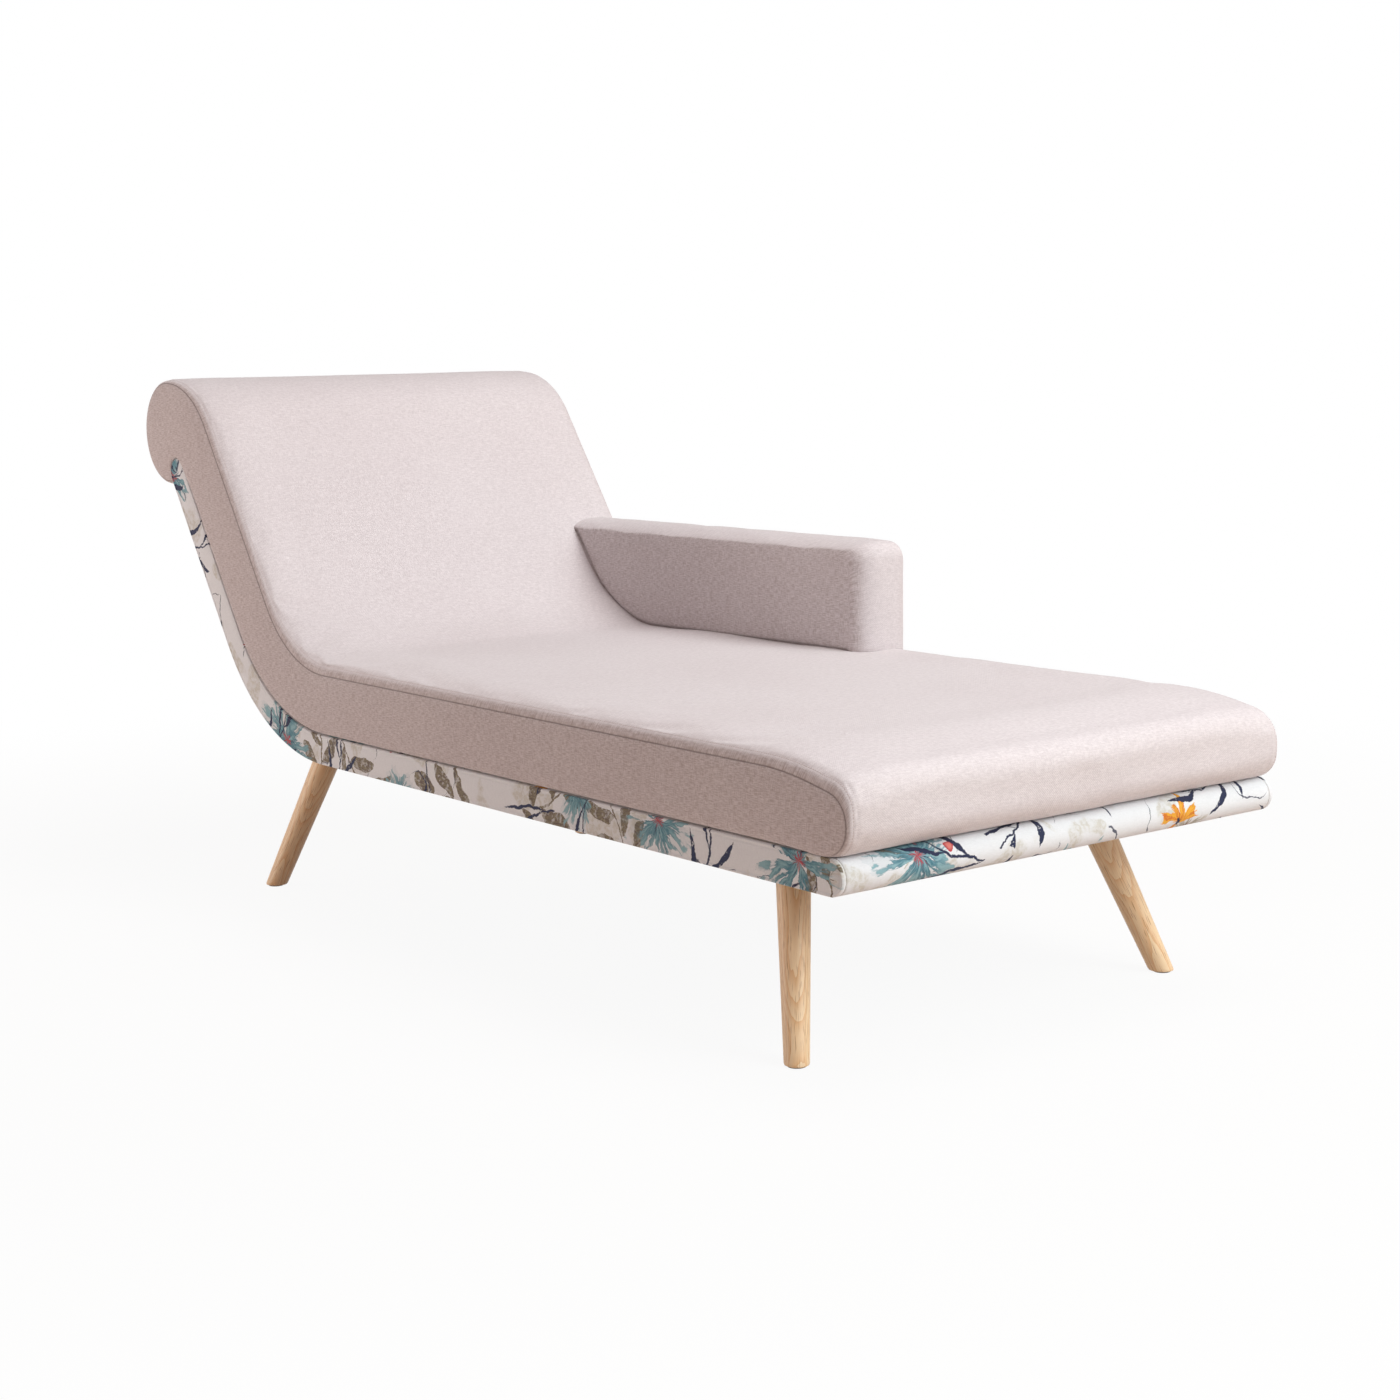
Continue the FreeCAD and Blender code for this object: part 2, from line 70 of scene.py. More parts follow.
# The divan's shared measures, the same as in its CAD source, in metres
divan = {
    "footWidth": 0.800, "headWidth": 0.732,        # the sides taper towards the head
    "footX": 0.90686, "rollX": -0.90986, "bendX": -0.33114,
    "deckZ": 0.292, "slab": 0.047, "seatLength": 1.208,
    "bendRadius": 0.320, "lean": math.radians(56), "backLength": 0.320,
}
endRadius = divan["slab"] / 2
arcLength = divan["bendRadius"] * divan["lean"]
runEnd = arcLength + divan["backLength"]
meshing = {"mergeWithin": 0.00012, "dissolveWithin": 0.00001, "samePoint": 1e-6, "least": 1e-9}


def halfWidth(x):
    taper = (divan["footWidth"] - divan["headWidth"]) / 2 / (divan["footX"] - divan["rollX"])
    return divan["headWidth"] / 2 + taper * (x - divan["rollX"])


def pathPoint(run, rise):
    # run goes along the shell's upper face, positive up the back; rise is square to that face
    radius = divan["bendRadius"] - rise
    if run <= 0:
        return divan["bendX"] - run, divan["deckZ"] + rise
    turn = min(run / divan["bendRadius"], divan["lean"])
    x = divan["bendX"] - radius * math.sin(turn)
    z = divan["deckZ"] + divan["bendRadius"] - radius * math.cos(turn)
    beyond = max(run - arcLength, 0)
    return x - beyond * math.cos(divan["lean"]), z + beyond * math.sin(divan["lean"])


def crossPoint(level, rise):
    # where a level line meets the back's line at that rise
    x, z = pathPoint(runEnd, rise)
    return x + (z - level) / math.tan(divan["lean"]), level


def roundOutline(corners, counts):
    # corners are (x, z, radius); counts are (points in the arc, points in the line after it)
    ends = []
    for index, (x, z, radius) in enumerate(corners):
        here = np.array((x, z))
        if radius == 0:
            ends.append((here, here, None))
            continue
        before = np.array(corners[index - 1][:2]) - here
        after = np.array(corners[index + 1][:2]) - here
        before /= np.linalg.norm(before)
        after /= np.linalg.norm(after)
        half = math.acos(np.clip(before @ after, -1, 1)) / 2
        reach = radius / math.tan(half)
        middle = before + after
        middle /= np.linalg.norm(middle)
        ends.append((here + before * reach, here + after * reach, here + middle * radius / math.sin(half)))
    points = []
    for index, (start, stop, centre) in enumerate(ends):
        arcCount, lineCount = counts[index]
        if centre is None:
            points.append(start)
        else:
            first = start - centre
            final = stop - centre
            turn = math.atan2(first[0] * final[1] - first[1] * final[0], first @ final)
            for share in np.linspace(0, 1, arcCount):
                c, s = math.cos(turn * share), math.sin(turn * share)
                points.append(centre + np.array((first[0] * c - first[1] * s, first[0] * s + first[1] * c)))
        if index < len(ends) - 1:
            ahead = ends[index + 1][0] - stop
            points.extend(stop + ahead * share for share in np.linspace(0, 1, lineCount + 2)[1:-1])
    # two arcs that touch share a point, which is kept once
    points = np.array(points)
    apart = np.linalg.norm(np.diff(points, axis=0), axis=1) > meshing["samePoint"]
    return points[np.concatenate(([True], apart))]


def alongLengths(points):
    return np.concatenate(([0.0], np.cumsum(np.linalg.norm(np.diff(points, axis=0), axis=1))))


def squareTo(line):
    # for each point of an (x, z) outline, the direction square to it
    ahead = np.gradient(line, axis=0)
    square = np.stack((ahead[:, 1], -ahead[:, 0]), axis=1)
    return square / np.maximum(np.linalg.norm(square, axis=1, keepdims=True), meshing["least"])


def stationed(line, y):
    # the (x, z) points of an outline at their y
    return np.stack((line[:, 0], y, line[:, 1]), axis=1)


def flatten(u, v):
    # the UV of each point of a grid, in metres
    return np.stack(np.broadcast_arrays(u, v), axis=2)


def bell(distance, width):
    return np.exp(-(distance / width) ** 2)


def rising(distance, reach):
    # 0 at the start, and close to 1 a few reaches on
    return 1 - np.exp(-distance / reach)


def densePoints(line, step):
    lengths = alongLengths(line)
    want = np.arange(0, lengths[-1], step)
    return np.stack([np.interp(want, lengths, line[:, axis]) for axis in range(3)], axis=1)


def newMesh(name, verts, faces=(), edges=()):
    mesh = bpy.data.meshes.new(name)
    mesh.from_pydata(verts, edges, faces)
    return mesh


def addObject(name, data):
    made = bpy.data.objects.new(name, data)
    bpy.context.scene.collection.objects.link(made)
    return made


def turnOutwards(mesh, merge):
    work = bmesh.new()
    work.from_mesh(mesh)
    if merge:
        bmesh.ops.remove_doubles(work, verts=work.verts, dist=meshing["mergeWithin"])
        bmesh.ops.dissolve_degenerate(work, edges=work.edges, dist=meshing["dissolveWithin"])
    bmesh.ops.recalc_face_normals(work, faces=work.faces)
    work.to_mesh(mesh)
    work.free()


def gridRings(rows, columns):
    # the (row, column) corners of each face of a grid
    for row in range(rows - 1):
        for column in range(columns - 1):
            yield (row, column), (row, column + 1), (row + 1, column + 1), (row + 1, column)


def gridMesh(name, grids):
    # each grid is (rows x columns x 3 places, rows x columns x 2 UV in metres); doubles are merged after
    verts, faces, uvs = [], [], []
    for places, flat in grids:
        rows, columns = places.shape[:2]
        base = len(verts)
        verts.extend(places.reshape(-1, 3).tolist())
        for ring in gridRings(rows, columns):
            faces.append([base + row * columns + column for row, column in ring])
            uvs.extend(flat[row, column] for row, column in ring)
    mesh = newMesh(name, verts, faces)
    layer = mesh.uv_layers.new(name="cloth")
    layer.data.foreach_set("uv", np.array(uvs, np.float32).ravel())
    turnOutwards(mesh, merge=True)
    mesh.polygons.foreach_set("use_smooth", [True] * len(mesh.polygons))
    return addObject(name, mesh)


def applyModifiers(piece):
    graph = bpy.context.evaluated_depsgraph_get()
    mesh = bpy.data.meshes.new_from_object(piece.evaluated_get(graph))
    piece.modifiers.clear()
    piece.data = mesh
    return piece


def subdivided(piece):
    smooth = piece.modifiers.new("Subdivision", "SUBSURF")
    smooth.levels = smooth.render_levels = 1
    return applyModifiers(piece)


solver = {"frames": 16, "quality": 6}


def clothShift(places, cloth):
    # blows the panel up a little with the cloth solver and returns where its points went, capped
    rows, columns = places.shape[:2]
    held = np.zeros((rows, columns), bool)
    held[:cloth["heldRows"]] = held[-cloth["heldRows"]:] = True
    held[:, :cloth["heldStart"]] = held[:, -cloth["heldEnd"]:] = True
    faces = [[row * columns + column for row, column in ring] for ring in gridRings(rows, columns)]
    piece = addObject("clothWork", newMesh("clothWork", places.reshape(-1, 3).tolist(), faces))
    group = piece.vertex_groups.new(name="held")
    group.add(np.nonzero(held.ravel())[0].tolist(), 1.0, "REPLACE")
    modifier = piece.modifiers.new("Cloth", "CLOTH")
    fabric = modifier.settings
    fabric.quality = solver["quality"]
    fabric.mass = cloth["mass"]
    fabric.tension_stiffness = fabric.compression_stiffness = cloth["stiffness"]
    fabric.shear_stiffness = cloth["stiffness"] / 2
    fabric.bending_stiffness = cloth["bending"]
    fabric.shrink_min = -cloth["spare"]
    fabric.vertex_group_mass = "held"
    fabric.use_pressure = True
    fabric.uniform_pressure_force = cloth["pressure"]
    fabric.effector_weights.gravity = 0
    modifier.collision_settings.use_collision = False
    modifier.point_cache.frame_start = 1
    modifier.point_cache.frame_end = solver["frames"]
    scene = bpy.context.scene
    for step in range(1, solver["frames"] + 1):
        scene.frame_set(step)
    shape = piece.evaluated_get(bpy.context.evaluated_depsgraph_get())
    moved = np.empty(rows * columns * 3, np.float32)
    shape.data.vertices.foreach_get("co", moved)
    scene.frame_set(1)
    bpy.data.objects.remove(piece)
    shift = moved.reshape(rows, columns, 3).astype(float) - places
    size = np.linalg.norm(shift, axis=2, keepdims=True)
    most, mean = (round(float(value) * 1000, 2) for value in (size.max(), size.mean()))
    print("  cloth moved at most", most, "mm, mean", mean)
    return places + shift * np.minimum(1, cloth["cap"] / np.maximum(size, meshing["least"]))


class Wiring:
    # short ways to wire a material's or a world's nodes
    def __init__(self, owner):
        owner.use_nodes = True
        self.owner = owner
        self.tree = owner.node_tree

    def put(self, socket, value):
        if isinstance(value, bpy.types.NodeSocket):
            self.tree.links.new(value, socket)
        elif value is not None:
            socket.default_value = value

    def fill(self, node, values):
        # values go to the inputs in order, or by name or number where they are a dictionary
        for label, value in values.items() if isinstance(values, dict) else enumerate(values):
            self.put(node.inputs[label], value)
        return node

    def node(self, kind, values=(), **settings):
        made = self.tree.nodes.new(kind)
        for key, value in settings.items():
            setattr(made, key, value)
        return self.fill(made, values)

    def math(self, operation, *values, clamp=False):
        return self.node("ShaderNodeMath", values, operation=operation, use_clamp=clamp).outputs[0]

    def times(self, a, b):
        return self.math("MULTIPLY", a, b)

    def timesPlus(self, a, b, c):
        return self.math("MULTIPLY_ADD", a, b, c)

    def minus(self, a, b):
        return self.math("SUBTRACT", a, b)

    def vector(self, operation, *values):
        return self.node("ShaderNodeVectorMath", values, operation=operation).outputs[0]

    def stretched(self, place, factors):
        return self.vector("MULTIPLY", place, (factors,) * 3 if isinstance(factors, float) else factors)

    def stepped(self, value, low, high, start=0.0, stop=1.0):
        values = (value, low, high, start, stop)
        return self.node("ShaderNodeMapRange", values, interpolation_type="SMOOTHSTEP").outputs[0]

    def mix(self, share, a, b, blend="MIX"):
        values = {0: share, 6: a, 7: b}
        return self.node("ShaderNodeMix", values, data_type="RGBA", blend_type=blend).outputs[2]

    def noise(self, place, scale, detail=2.0, rough=0.5, colour=False):
        values = {"Vector": place, "Scale": scale, "Detail": detail, "Roughness": rough}
        return self.node("ShaderNodeTexNoise", values).outputs[1 if colour else 0]

    def split(self, vector):
        return tuple(self.node("ShaderNodeSeparateXYZ", (vector,)).outputs)

    def joined(self, x, y, z=0.0):
        return self.node("ShaderNodeCombineXYZ", (x, y, z)).outputs[0]

    def clothPlace(self):
        return self.node("ShaderNodeUVMap", uv_map="cloth").outputs[0]

    def objectPlace(self):
        return self.node("ShaderNodeTexCoord").outputs["Object"]

    def attribute(self, name, output):
        return self.node("ShaderNodeAttribute", attribute_name=name).outputs[output]

    def seamAndCreviceShaded(self, colour, cloth):
        # the cloth is darker along its seams and where it meets other parts: a seam line and painted shade of
        # the crevice
        return self.mix(self.times(self.attribute("seam", "Fac"), cloth["seamAndCreviceShadeShare"]), colour, cloth["seam"])

    def bump(self, height, distance, strength=0.5):
        values = {"Strength": strength, "Distance": distance, "Height": height}
        return self.node("ShaderNodeBump", values).outputs[0]

    def seenRays(self):
        # 1 for what the camera sees itself, in gloss and through glass
        ray = self.node("ShaderNodeLightPath").outputs
        mirrored = self.math("MAXIMUM", ray["Is Glossy Ray"], ray["Is Transmission Ray"])
        return self.math("MAXIMUM", ray["Is Camera Ray"], mirrored)

    def finish(self, colour, normal=None, roughness=0.8, sheen=0.0, coat=0.0, metal=0.0, specular=0.5):
        self.fill(self.tree.nodes["Principled BSDF"], {
            "Base Color": colour, "Normal": normal, "Roughness": roughness, "Metallic": metal,
            "Specular IOR Level": specular, "Sheen Weight": sheen, "Sheen Roughness": 0.5,
            "Coat Weight": coat, "Coat Roughness": 0.35,
        })
        return self.owner


def newMaterial(name):
    return Wiring(bpy.data.materials.new(name))


def tone(red, green, blue):
    # an sRGB colour of 0 to 255 as the linear colour that a socket takes
    made = []
    for part in (red, green, blue):
        share = part / 255
        made.append(share / 12.92 if share <= 0.04045 else ((share + 0.055) / 1.055) ** 2.4)
    return (*made, 1.0)


def weaveOn(wire, place, pitch):
    # a plain weave: warp over weft over warp, as a height of 0 to 1
    u, v, _ = wire.split(place)
    a = wire.math("SINE", wire.times(u, math.pi / pitch))
    b = wire.math("SINE", wire.times(v, math.pi / pitch))
    return wire.timesPlus(wire.times(a, b), 0.5, 0.5)


def slubsOn(wire, place, fine, coarse, apart=7.3):
    # threads that vary along their length, in both directions
    u, v, _ = wire.split(place)
    warp = wire.joined(wire.times(u, coarse), wire.times(v, fine))
    weft = wire.joined(wire.times(u, fine), wire.times(v, coarse), apart)
    return wire.noise(warp, 1.0, 1.5), wire.noise(weft, 1.0, 1.5)


# A band is the two values between which a step goes from 0 to 1, or from its third number to its fourth
# the cloth's darkest brown tone is painted shade for the side panels, and its seam tone is painted shade
# along seams and joints
mushroomCloth = {
    "light": tone(226, 218, 219), "dark": tone(206, 197, 198), "fleck": tone(236, 228, 228),
    "shade": tone(146, 124, 116), "blotch": tone(214, 200, 200), "seam": tone(84, 64, 60), "seamAndCreviceShadeShare": 0.75,
    "threads": 700.0, "slubs": 125.0, "warpShare": 0.45, "weftShare": 0.55, "fuzz": 1300.0, "fuzzShare": 0.4,
    "heatherBand": (0.30, 0.70), "fleckBand": (0.62, 0.80, 0.0, 0.3),
    "paintedSideShadeBand": (0.6, 0.95), "lineFine": 900.0, "lineCoarse": 100.0, "levelShare": 0.6, "plumbShare": 0.4,
    "lineBand": (0.38, 0.58, 0.44, 0.0), "blotches": 3.2, "blotchBand": (0.3, 0.7, 0.0, 0.10),
    "pitch": 0.0017, "heatherHeight": 0.4, "depth": 0.00026, "strength": 0.7,
}


def makeMushroomCloth():
    wire = newMaterial("mushroomCloth")
    cloth = mushroomCloth
    place = wire.clothPlace()
    warp, weft = slubsOn(wire, place, cloth["threads"], cloth["slubs"])
    fuzz = wire.noise(place, cloth["fuzz"], 1.0)
    heather = wire.timesPlus(warp, cloth["warpShare"], wire.times(weft, cloth["weftShare"]))
    heather = wire.timesPlus(wire.minus(fuzz, 0.5), cloth["fuzzShare"], heather)
    colour = wire.mix(wire.stepped(heather, *cloth["heatherBand"]), cloth["dark"], cloth["light"])
    colour = wire.mix(wire.stepped(weft, *cloth["fleckBand"]), colour, cloth["fleck"])
    # painted shade: the upright panels, found by their normal, show more of the dark brown threads, so the
    # sides read as shaded
    _, facing, _ = wire.split(wire.node("ShaderNodeNewGeometry").outputs["Normal"])
    paintedSideShade = wire.stepped(wire.math("ABSOLUTE", facing), *cloth["paintedSideShadeBand"])
    level = wire.noise(wire.stretched(place, (cloth["lineFine"], cloth["lineCoarse"], 1.0)), 1.0, 1.0)
    plumb = wire.noise(wire.stretched(place, (cloth["lineCoarse"], cloth["lineFine"], 1.0)), 1.0, 1.0)
    lines = wire.timesPlus(level, cloth["levelShare"], wire.times(plumb, cloth["plumbShare"]))
    threads = wire.times(wire.stepped(lines, *cloth["lineBand"]), paintedSideShade)
    colour = wire.mix(threads, colour, cloth["shade"])
    broad = wire.noise(wire.objectPlace(), cloth["blotches"])
    colour = wire.mix(wire.stepped(broad, *cloth["blotchBand"]), colour, cloth["blotch"], "MULTIPLY")
    colour = wire.seamAndCreviceShaded(colour, cloth)
    height = wire.timesPlus(heather, cloth["heatherHeight"], weaveOn(wire, place, cloth["pitch"]))
    normal = wire.bump(height, cloth["depth"], cloth["strength"])
    return wire.finish(colour, normal, roughness=0.88, sheen=0.30, specular=0.25)


# the seam tone is a seam line and painted shade in the wrap's groove
printedCloth = {
    "ground": tone(236, 238, 241), "wash": tone(207, 203, 192), "teal": tone(70, 124, 140),
    "paleTeal": tone(146, 184, 192), "navy": tone(34, 41, 72), "olive": tone(138, 128, 100),
    "brown": tone(98, 78, 64), "berry": tone(190, 62, 70), "yellow": tone(240, 176, 56),
    "orange": tone(216, 116, 42), "blush": tone(222, 128, 118), "seam": tone(130, 108, 88), "seamAndCreviceShadeShare": 0.8,
    "driftScale": 24.0, "drift": 0.024, "ragScale": 260.0, "rag": 0.0034,
    "streaks": (90.0, 420.0, 1.0), "dabs": 130.0,
    "threads": 1400.0, "slubs": 160.0, "grainBand": (0.35, 0.65, 0.93, 1.0), "pitch": 0.0008, "depth": 0.0001,
}
# What the print's motifs are like; perMetre, seed and keep: how many there are, where, what share stands
oliveSpray = {
    "length": 0.076, "leaf": 0.056, "pitch": 0.052, "slim": 0.30, "curve": 4.0, "thick": 0.0016, "slant": 0.9,
    "perMetre": 5.0, "seed": 3.1, "keep": 0.40, "dabBand": (0.36, 0.50, 0.45, 0.95), "toneBand": (0.35, 0.65),
}
navySpray = {
    "length": 0.090, "leaf": 0.050, "pitch": 0.062, "slim": 0.15, "curve": 6.0, "thick": 0.0022, "slant": 1.4,
    "perMetre": 5.4, "seed": 41.9, "keep": 0.86, "dabBand": (0.30, 0.38, 0.35, 1.0),
}
tealBloom = {"radius": 0.044, "spread": 0.028, "strokes": 3.0, "perMetre": 3.9, "seed": 11.7, "keep": 0.66}
seedBloom = {"radius": 0.030, "spread": 0.016, "strokes": 3.4, "perMetre": 4.0, "seed": 63.7, "keep": 0.50}
yellowBloom = {
    "radius": 0.028, "spread": 0.008, "strokes": 3.4, "perMetre": 4.0, "seed": 27.3, "keep": 0.42,
    "speckle": 0.6, "speckleBand": (0.68, 0.86), "heartRag": -0.012, "heartBand": (-0.002, 0.0, 1.0, 0.0),
}
redBud = {
    "perMetre": 14.0, "seed": 55.1, "keep": 0.12, "rag": 0.007,
    "edgeBand": (0.0100, 0.0108, 1.0, 0.0), "toneBand": (0.006, 0.010),
}
wandering = {
    "scale": 8.5, "start": (4.7, 2.9, 0.0), "step": (0.0012, 0.0009, 0.0), "leastSlope": 0.0002,
    "lineBand": (0.50, 0.95, 1.0, 0.0), "gapBand": (0.47, 0.50, 1.0, 0.0), "ink": 0.9,
    "washScale": 15.0, "washBand": (0.55, 0.60), "washDabs": (0.40, 0.62, 0.25, 0.80),
}


def scatter(wire, place, motif, slant=0.37, jitter=0.65):
    # own places in a jittered grid: local x and y in metres, a random number, and 1 where a motif stands
    shifted = wire.vector("ADD", place, (motif["seed"], motif["seed"] * slant, 0.0))
    values = {"Vector": shifted, "Scale": motif["perMetre"], "Randomness": jitter}
    cells = wire.node("ShaderNodeTexVoronoi", values, voronoi_dimensions="2D", feature="F1").outputs
    local = wire.vector("SUBTRACT", shifted, cells["Position"])
    first, second, third = wire.split(cells["Color"])
    values = {"Vector": local, "Angle": wire.times(first, math.tau)}
    turned = wire.node("ShaderNodeVectorRotate", values, rotation_type="Z_AXIS")
    x, y, _ = wire.split(turned.outputs[0])
    return x, y, third, wire.math("LESS_THAN", second, motif["keep"])


def awayFrom(wire, x, y):
    return wire.math("POWER", wire.timesPlus(x, x, wire.times(y, y)), 0.5)


brush = {
    "leastR": 0.0005, "outwards": 16.0, "unlike": 9.0, "lobeScale": 0.42, "bristleScale": 2.3,
    "strokeReach": 1.7, "lobeBand": (0.40, 0.60, 0.10, 1.20), "bristleReach": 0.8, "edge": 0.0014,
    "toneBand": (0.40, 0.66), "thinning": 0.30, "darkBand": (0.40, 0.54, 0.90, 0.0),
    "sheerBand": (0.20, 0.32, 0.10, 1.0), "heartRag": 0.060, "heartBand": (0.0040, 0.0052, 1.0, 0.0),
    "stemCore": 0.55, "stemEnd": 0.004, "leafPower": 0.8, "leafEdge": 0.0009, "leafEnd": 0.003,
}


def bloomMask(wire, x, y, size, bloom):
    # a flower head of brush strokes that run out from its heart: its mask, strokes, bristles and distances
    r = wire.math("MAXIMUM", awayFrom(wire, x, y), brush["leastR"])
    around = wire.joined(wire.times(wire.math("DIVIDE", x, r), bloom["strokes"]),
                         wire.times(wire.math("DIVIDE", y, r), bloom["strokes"]),
                         wire.timesPlus(r, brush["outwards"], wire.times(size, brush["unlike"])))
    strokes = wire.noise(around, 1.0, 3.0, 0.65)
    lobes = wire.noise(around, brush["lobeScale"], 0.0)
    bristles = wire.noise(around, brush["bristleScale"], 2.0, 0.6)
    radius = wire.timesPlus(size, bloom["spread"], bloom["radius"])
    reach = wire.stepped(lobes, *brush["lobeBand"])
    reach = wire.timesPlus(wire.minus(strokes, 0.5), brush["strokeReach"], reach)
    reach = wire.timesPlus(wire.minus(bristles, 0.5), brush["bristleReach"], reach)
    inside = wire.minus(wire.times(reach, radius), r)
    return wire.stepped(inside, 0.0, brush["edge"]), strokes, bristles, r, wire.math("DIVIDE", r, radius)


def sprayMask(wire, x, y, spray):
    # a curved stem with leaves in pairs along it
    leaf, pitch, thick = spray["leaf"], spray["pitch"], spray["thick"]
    bent = wire.minus(y, wire.times(wire.times(x, x), spray["curve"]))
    side = wire.math("ABSOLUTE", bent)
    onStem = wire.stepped(wire.minus(spray["length"], wire.math("ABSOLUTE", x)), 0.0, brush["stemEnd"])
    stem = wire.times(wire.stepped(side, thick * brush["stemCore"], thick, 1.0, 0.0), onStem)
    slanted = wire.minus(x, wire.times(side, spray["slant"]))
    stagger = wire.times(wire.math("SIGN", bent), pitch / 4)
    place = wire.math("FLOORED_MODULO", wire.math("ADD", slanted, stagger), pitch)
    place = wire.math("ABSOLUTE", wire.minus(place, pitch / 2))
    swell = wire.math("SINE", wire.times(wire.math("DIVIDE", side, leaf, clamp=True), math.pi))
    swell = wire.math("POWER", wire.math("MAXIMUM", swell, 0.0), brush["leafPower"])
    leaves = wire.minus(wire.times(swell, leaf * spray["slim"]), place)
    reach = wire.minus(spray["length"], wire.math("ABSOLUTE", slanted))
    leaves = wire.stepped(leaves, 0.0, brush["leafEdge"])
    leaves = wire.times(leaves, wire.stepped(reach, 0.0, brush["leafEnd"]))
    return wire.math("MAXIMUM", stem, leaves)


def standingSpray(wire, place, dabs, spray):
    x, y, _, stands = scatter(wire, place, spray)
    mask = wire.times(sprayMask(wire, x, y, spray), stands)
    return wire.times(mask, wire.stepped(dabs, *spray["dabBand"]))


def printFoliage(wire, place, colour, streaks, dabs):
    # pale washes, then olive sprays, then thin wandering stems, all under the flowers
    ink = printedCloth
    broad = wire.noise(place, wandering["washScale"], 1.5)
    wash = wire.stepped(broad, *wandering["washBand"])
    wash = wire.times(wash, wire.stepped(dabs, *wandering["washDabs"]))
    colour = wire.mix(wash, colour, ink["wash"])
    leafTone = wire.mix(wire.stepped(streaks, *oliveSpray["toneBand"]), ink["olive"], ink["brown"])
    colour = wire.mix(standingSpray(wire, place, dabs, oliveSpray), colour, leafTone)
    bare = wire.vector("ADD", place, wandering["start"])
    here = wire.noise(bare, wandering["scale"], 1.0)
    ahead = wire.noise(wire.vector("ADD", bare, wandering["step"]), wandering["scale"], 1.0)
    wander = wire.math("ABSOLUTE", wire.minus(here, 0.5))
    slope = wire.math("MAXIMUM", wire.math("ABSOLUTE", wire.minus(ahead, here)), wandering["leastSlope"])
    # the line is as wide as the slope lets it, like a pen's: broad one way and thin the other
    line = wire.stepped(wire.math("DIVIDE", wander, slope), *wandering["lineBand"])
    stem = wire.times(line, wire.stepped(broad, *wandering["gapBand"]))
    return wire.mix(wire.times(stem, wandering["ink"]), colour, ink["navy"])


def brushed(wire, place, colour, bloom, inks):
    # blooms of one kind: pale and full ink between the bristles, dark by the heart, thin paint at the ends
    x, y, size, stands = scatter(wire, place, bloom)
    mask, strokes, bristles, r, out = bloomMask(wire, x, y, size, bloom)
    petal = wire.mix(wire.stepped(bristles, *brush["toneBand"]), inks[0], inks[1])
    dark = wire.stepped(wire.timesPlus(out, brush["thinning"], strokes), *brush["darkBand"])
    petal = wire.mix(dark, petal, inks[2])
    sheer = wire.stepped(wire.timesPlus(out, -brush["thinning"], bristles), *brush["sheerBand"])
    colour = wire.mix(wire.times(wire.times(mask, stands), sheer), colour, petal)
    heart = wire.timesPlus(wire.minus(bristles, 0.5), brush["heartRag"], r)
    return wire.mix(wire.times(wire.stepped(heart, *brush["heartBand"]), stands), colour, inks[3])


def printFlowers(wire, place, colour, streaks):
    # seed heads and teal blooms, then yellow and orange ones, fewer and smaller
    ink = printedCloth
    colour = brushed(wire, place, colour, seedBloom, [ink[k] for k in ("olive", "wash", "brown", "berry")])
    colour = brushed(wire, place, colour, tealBloom, [ink[k] for k in ("teal", "paleTeal", "navy", "berry")])
    x, y, size, stands = scatter(wire, place, yellowBloom)
    mask, strokes, bristles, r, _ = bloomMask(wire, x, y, size, yellowBloom)
    speckle = wire.timesPlus(streaks, yellowBloom["speckle"], bristles)
    petal = wire.mix(wire.stepped(speckle, *yellowBloom["speckleBand"]), ink["orange"], ink["yellow"])
    colour = wire.mix(wire.times(mask, stands), colour, petal)
    heart = wire.stepped(wire.timesPlus(strokes, yellowBloom["heartRag"], r), *yellowBloom["heartBand"])
    return wire.mix(wire.times(heart, stands), colour, ink["navy"])


def printStrokes(wire, place, colour, dabs):
    # navy sprays and red buds, over everything
    ink = printedCloth
    colour = wire.mix(standingSpray(wire, place, dabs, navySpray), colour, ink["navy"])
    x, y, _, stands = scatter(wire, place, redBud)
    r = wire.timesPlus(dabs, redBud["rag"], awayFrom(wire, x, y))
    mask = wire.times(wire.stepped(r, *redBud["edgeBand"]), stands)
    return wire.mix(mask, colour, wire.mix(wire.stepped(r, *redBud["toneBand"]), ink["blush"], ink["berry"]))


def makePrintedCloth():
    # a free floral: ragged teal blooms, small yellow ones, olive and navy sprays and red buds
    wire = newMaterial("printedCloth")
    cloth = printedCloth
    flat = wire.clothPlace()
    place = flat
    for scale, reach in ((cloth["driftScale"], cloth["drift"]), (cloth["ragScale"], cloth["rag"])):
        drift = wire.vector("SUBTRACT", wire.noise(flat, scale, 2.0, colour=True), (0.5, 0.5, 0.5))
        place = wire.vector("ADD", place, wire.stretched(drift, reach))
    streaks = wire.noise(wire.stretched(place, cloth["streaks"]), 1.0, 3.0, 0.6)
    dabs = wire.noise(place, cloth["dabs"], 3.0, 0.6)
    colour = printFoliage(wire, place, cloth["ground"], streaks, dabs)
    colour = printFlowers(wire, place, colour, streaks)
    colour = printStrokes(wire, place, colour, dabs)
    # the ground's own weave shows through the ink
    warp, weft = slubsOn(wire, flat, cloth["threads"], cloth["slubs"])
    grain = wire.stepped(wire.times(wire.math("ADD", warp, weft), 0.5), *cloth["grainBand"])
    colour = wire.mix(1.0, colour, wire.joined(grain, grain, grain), "MULTIPLY")
    normal = wire.bump(weaveOn(wire, flat, cloth["pitch"]), cloth["depth"])
    return wire.finish(wire.seamAndCreviceShaded(colour, cloth), normal, roughness=0.75, sheen=0.10, specular=0.3)


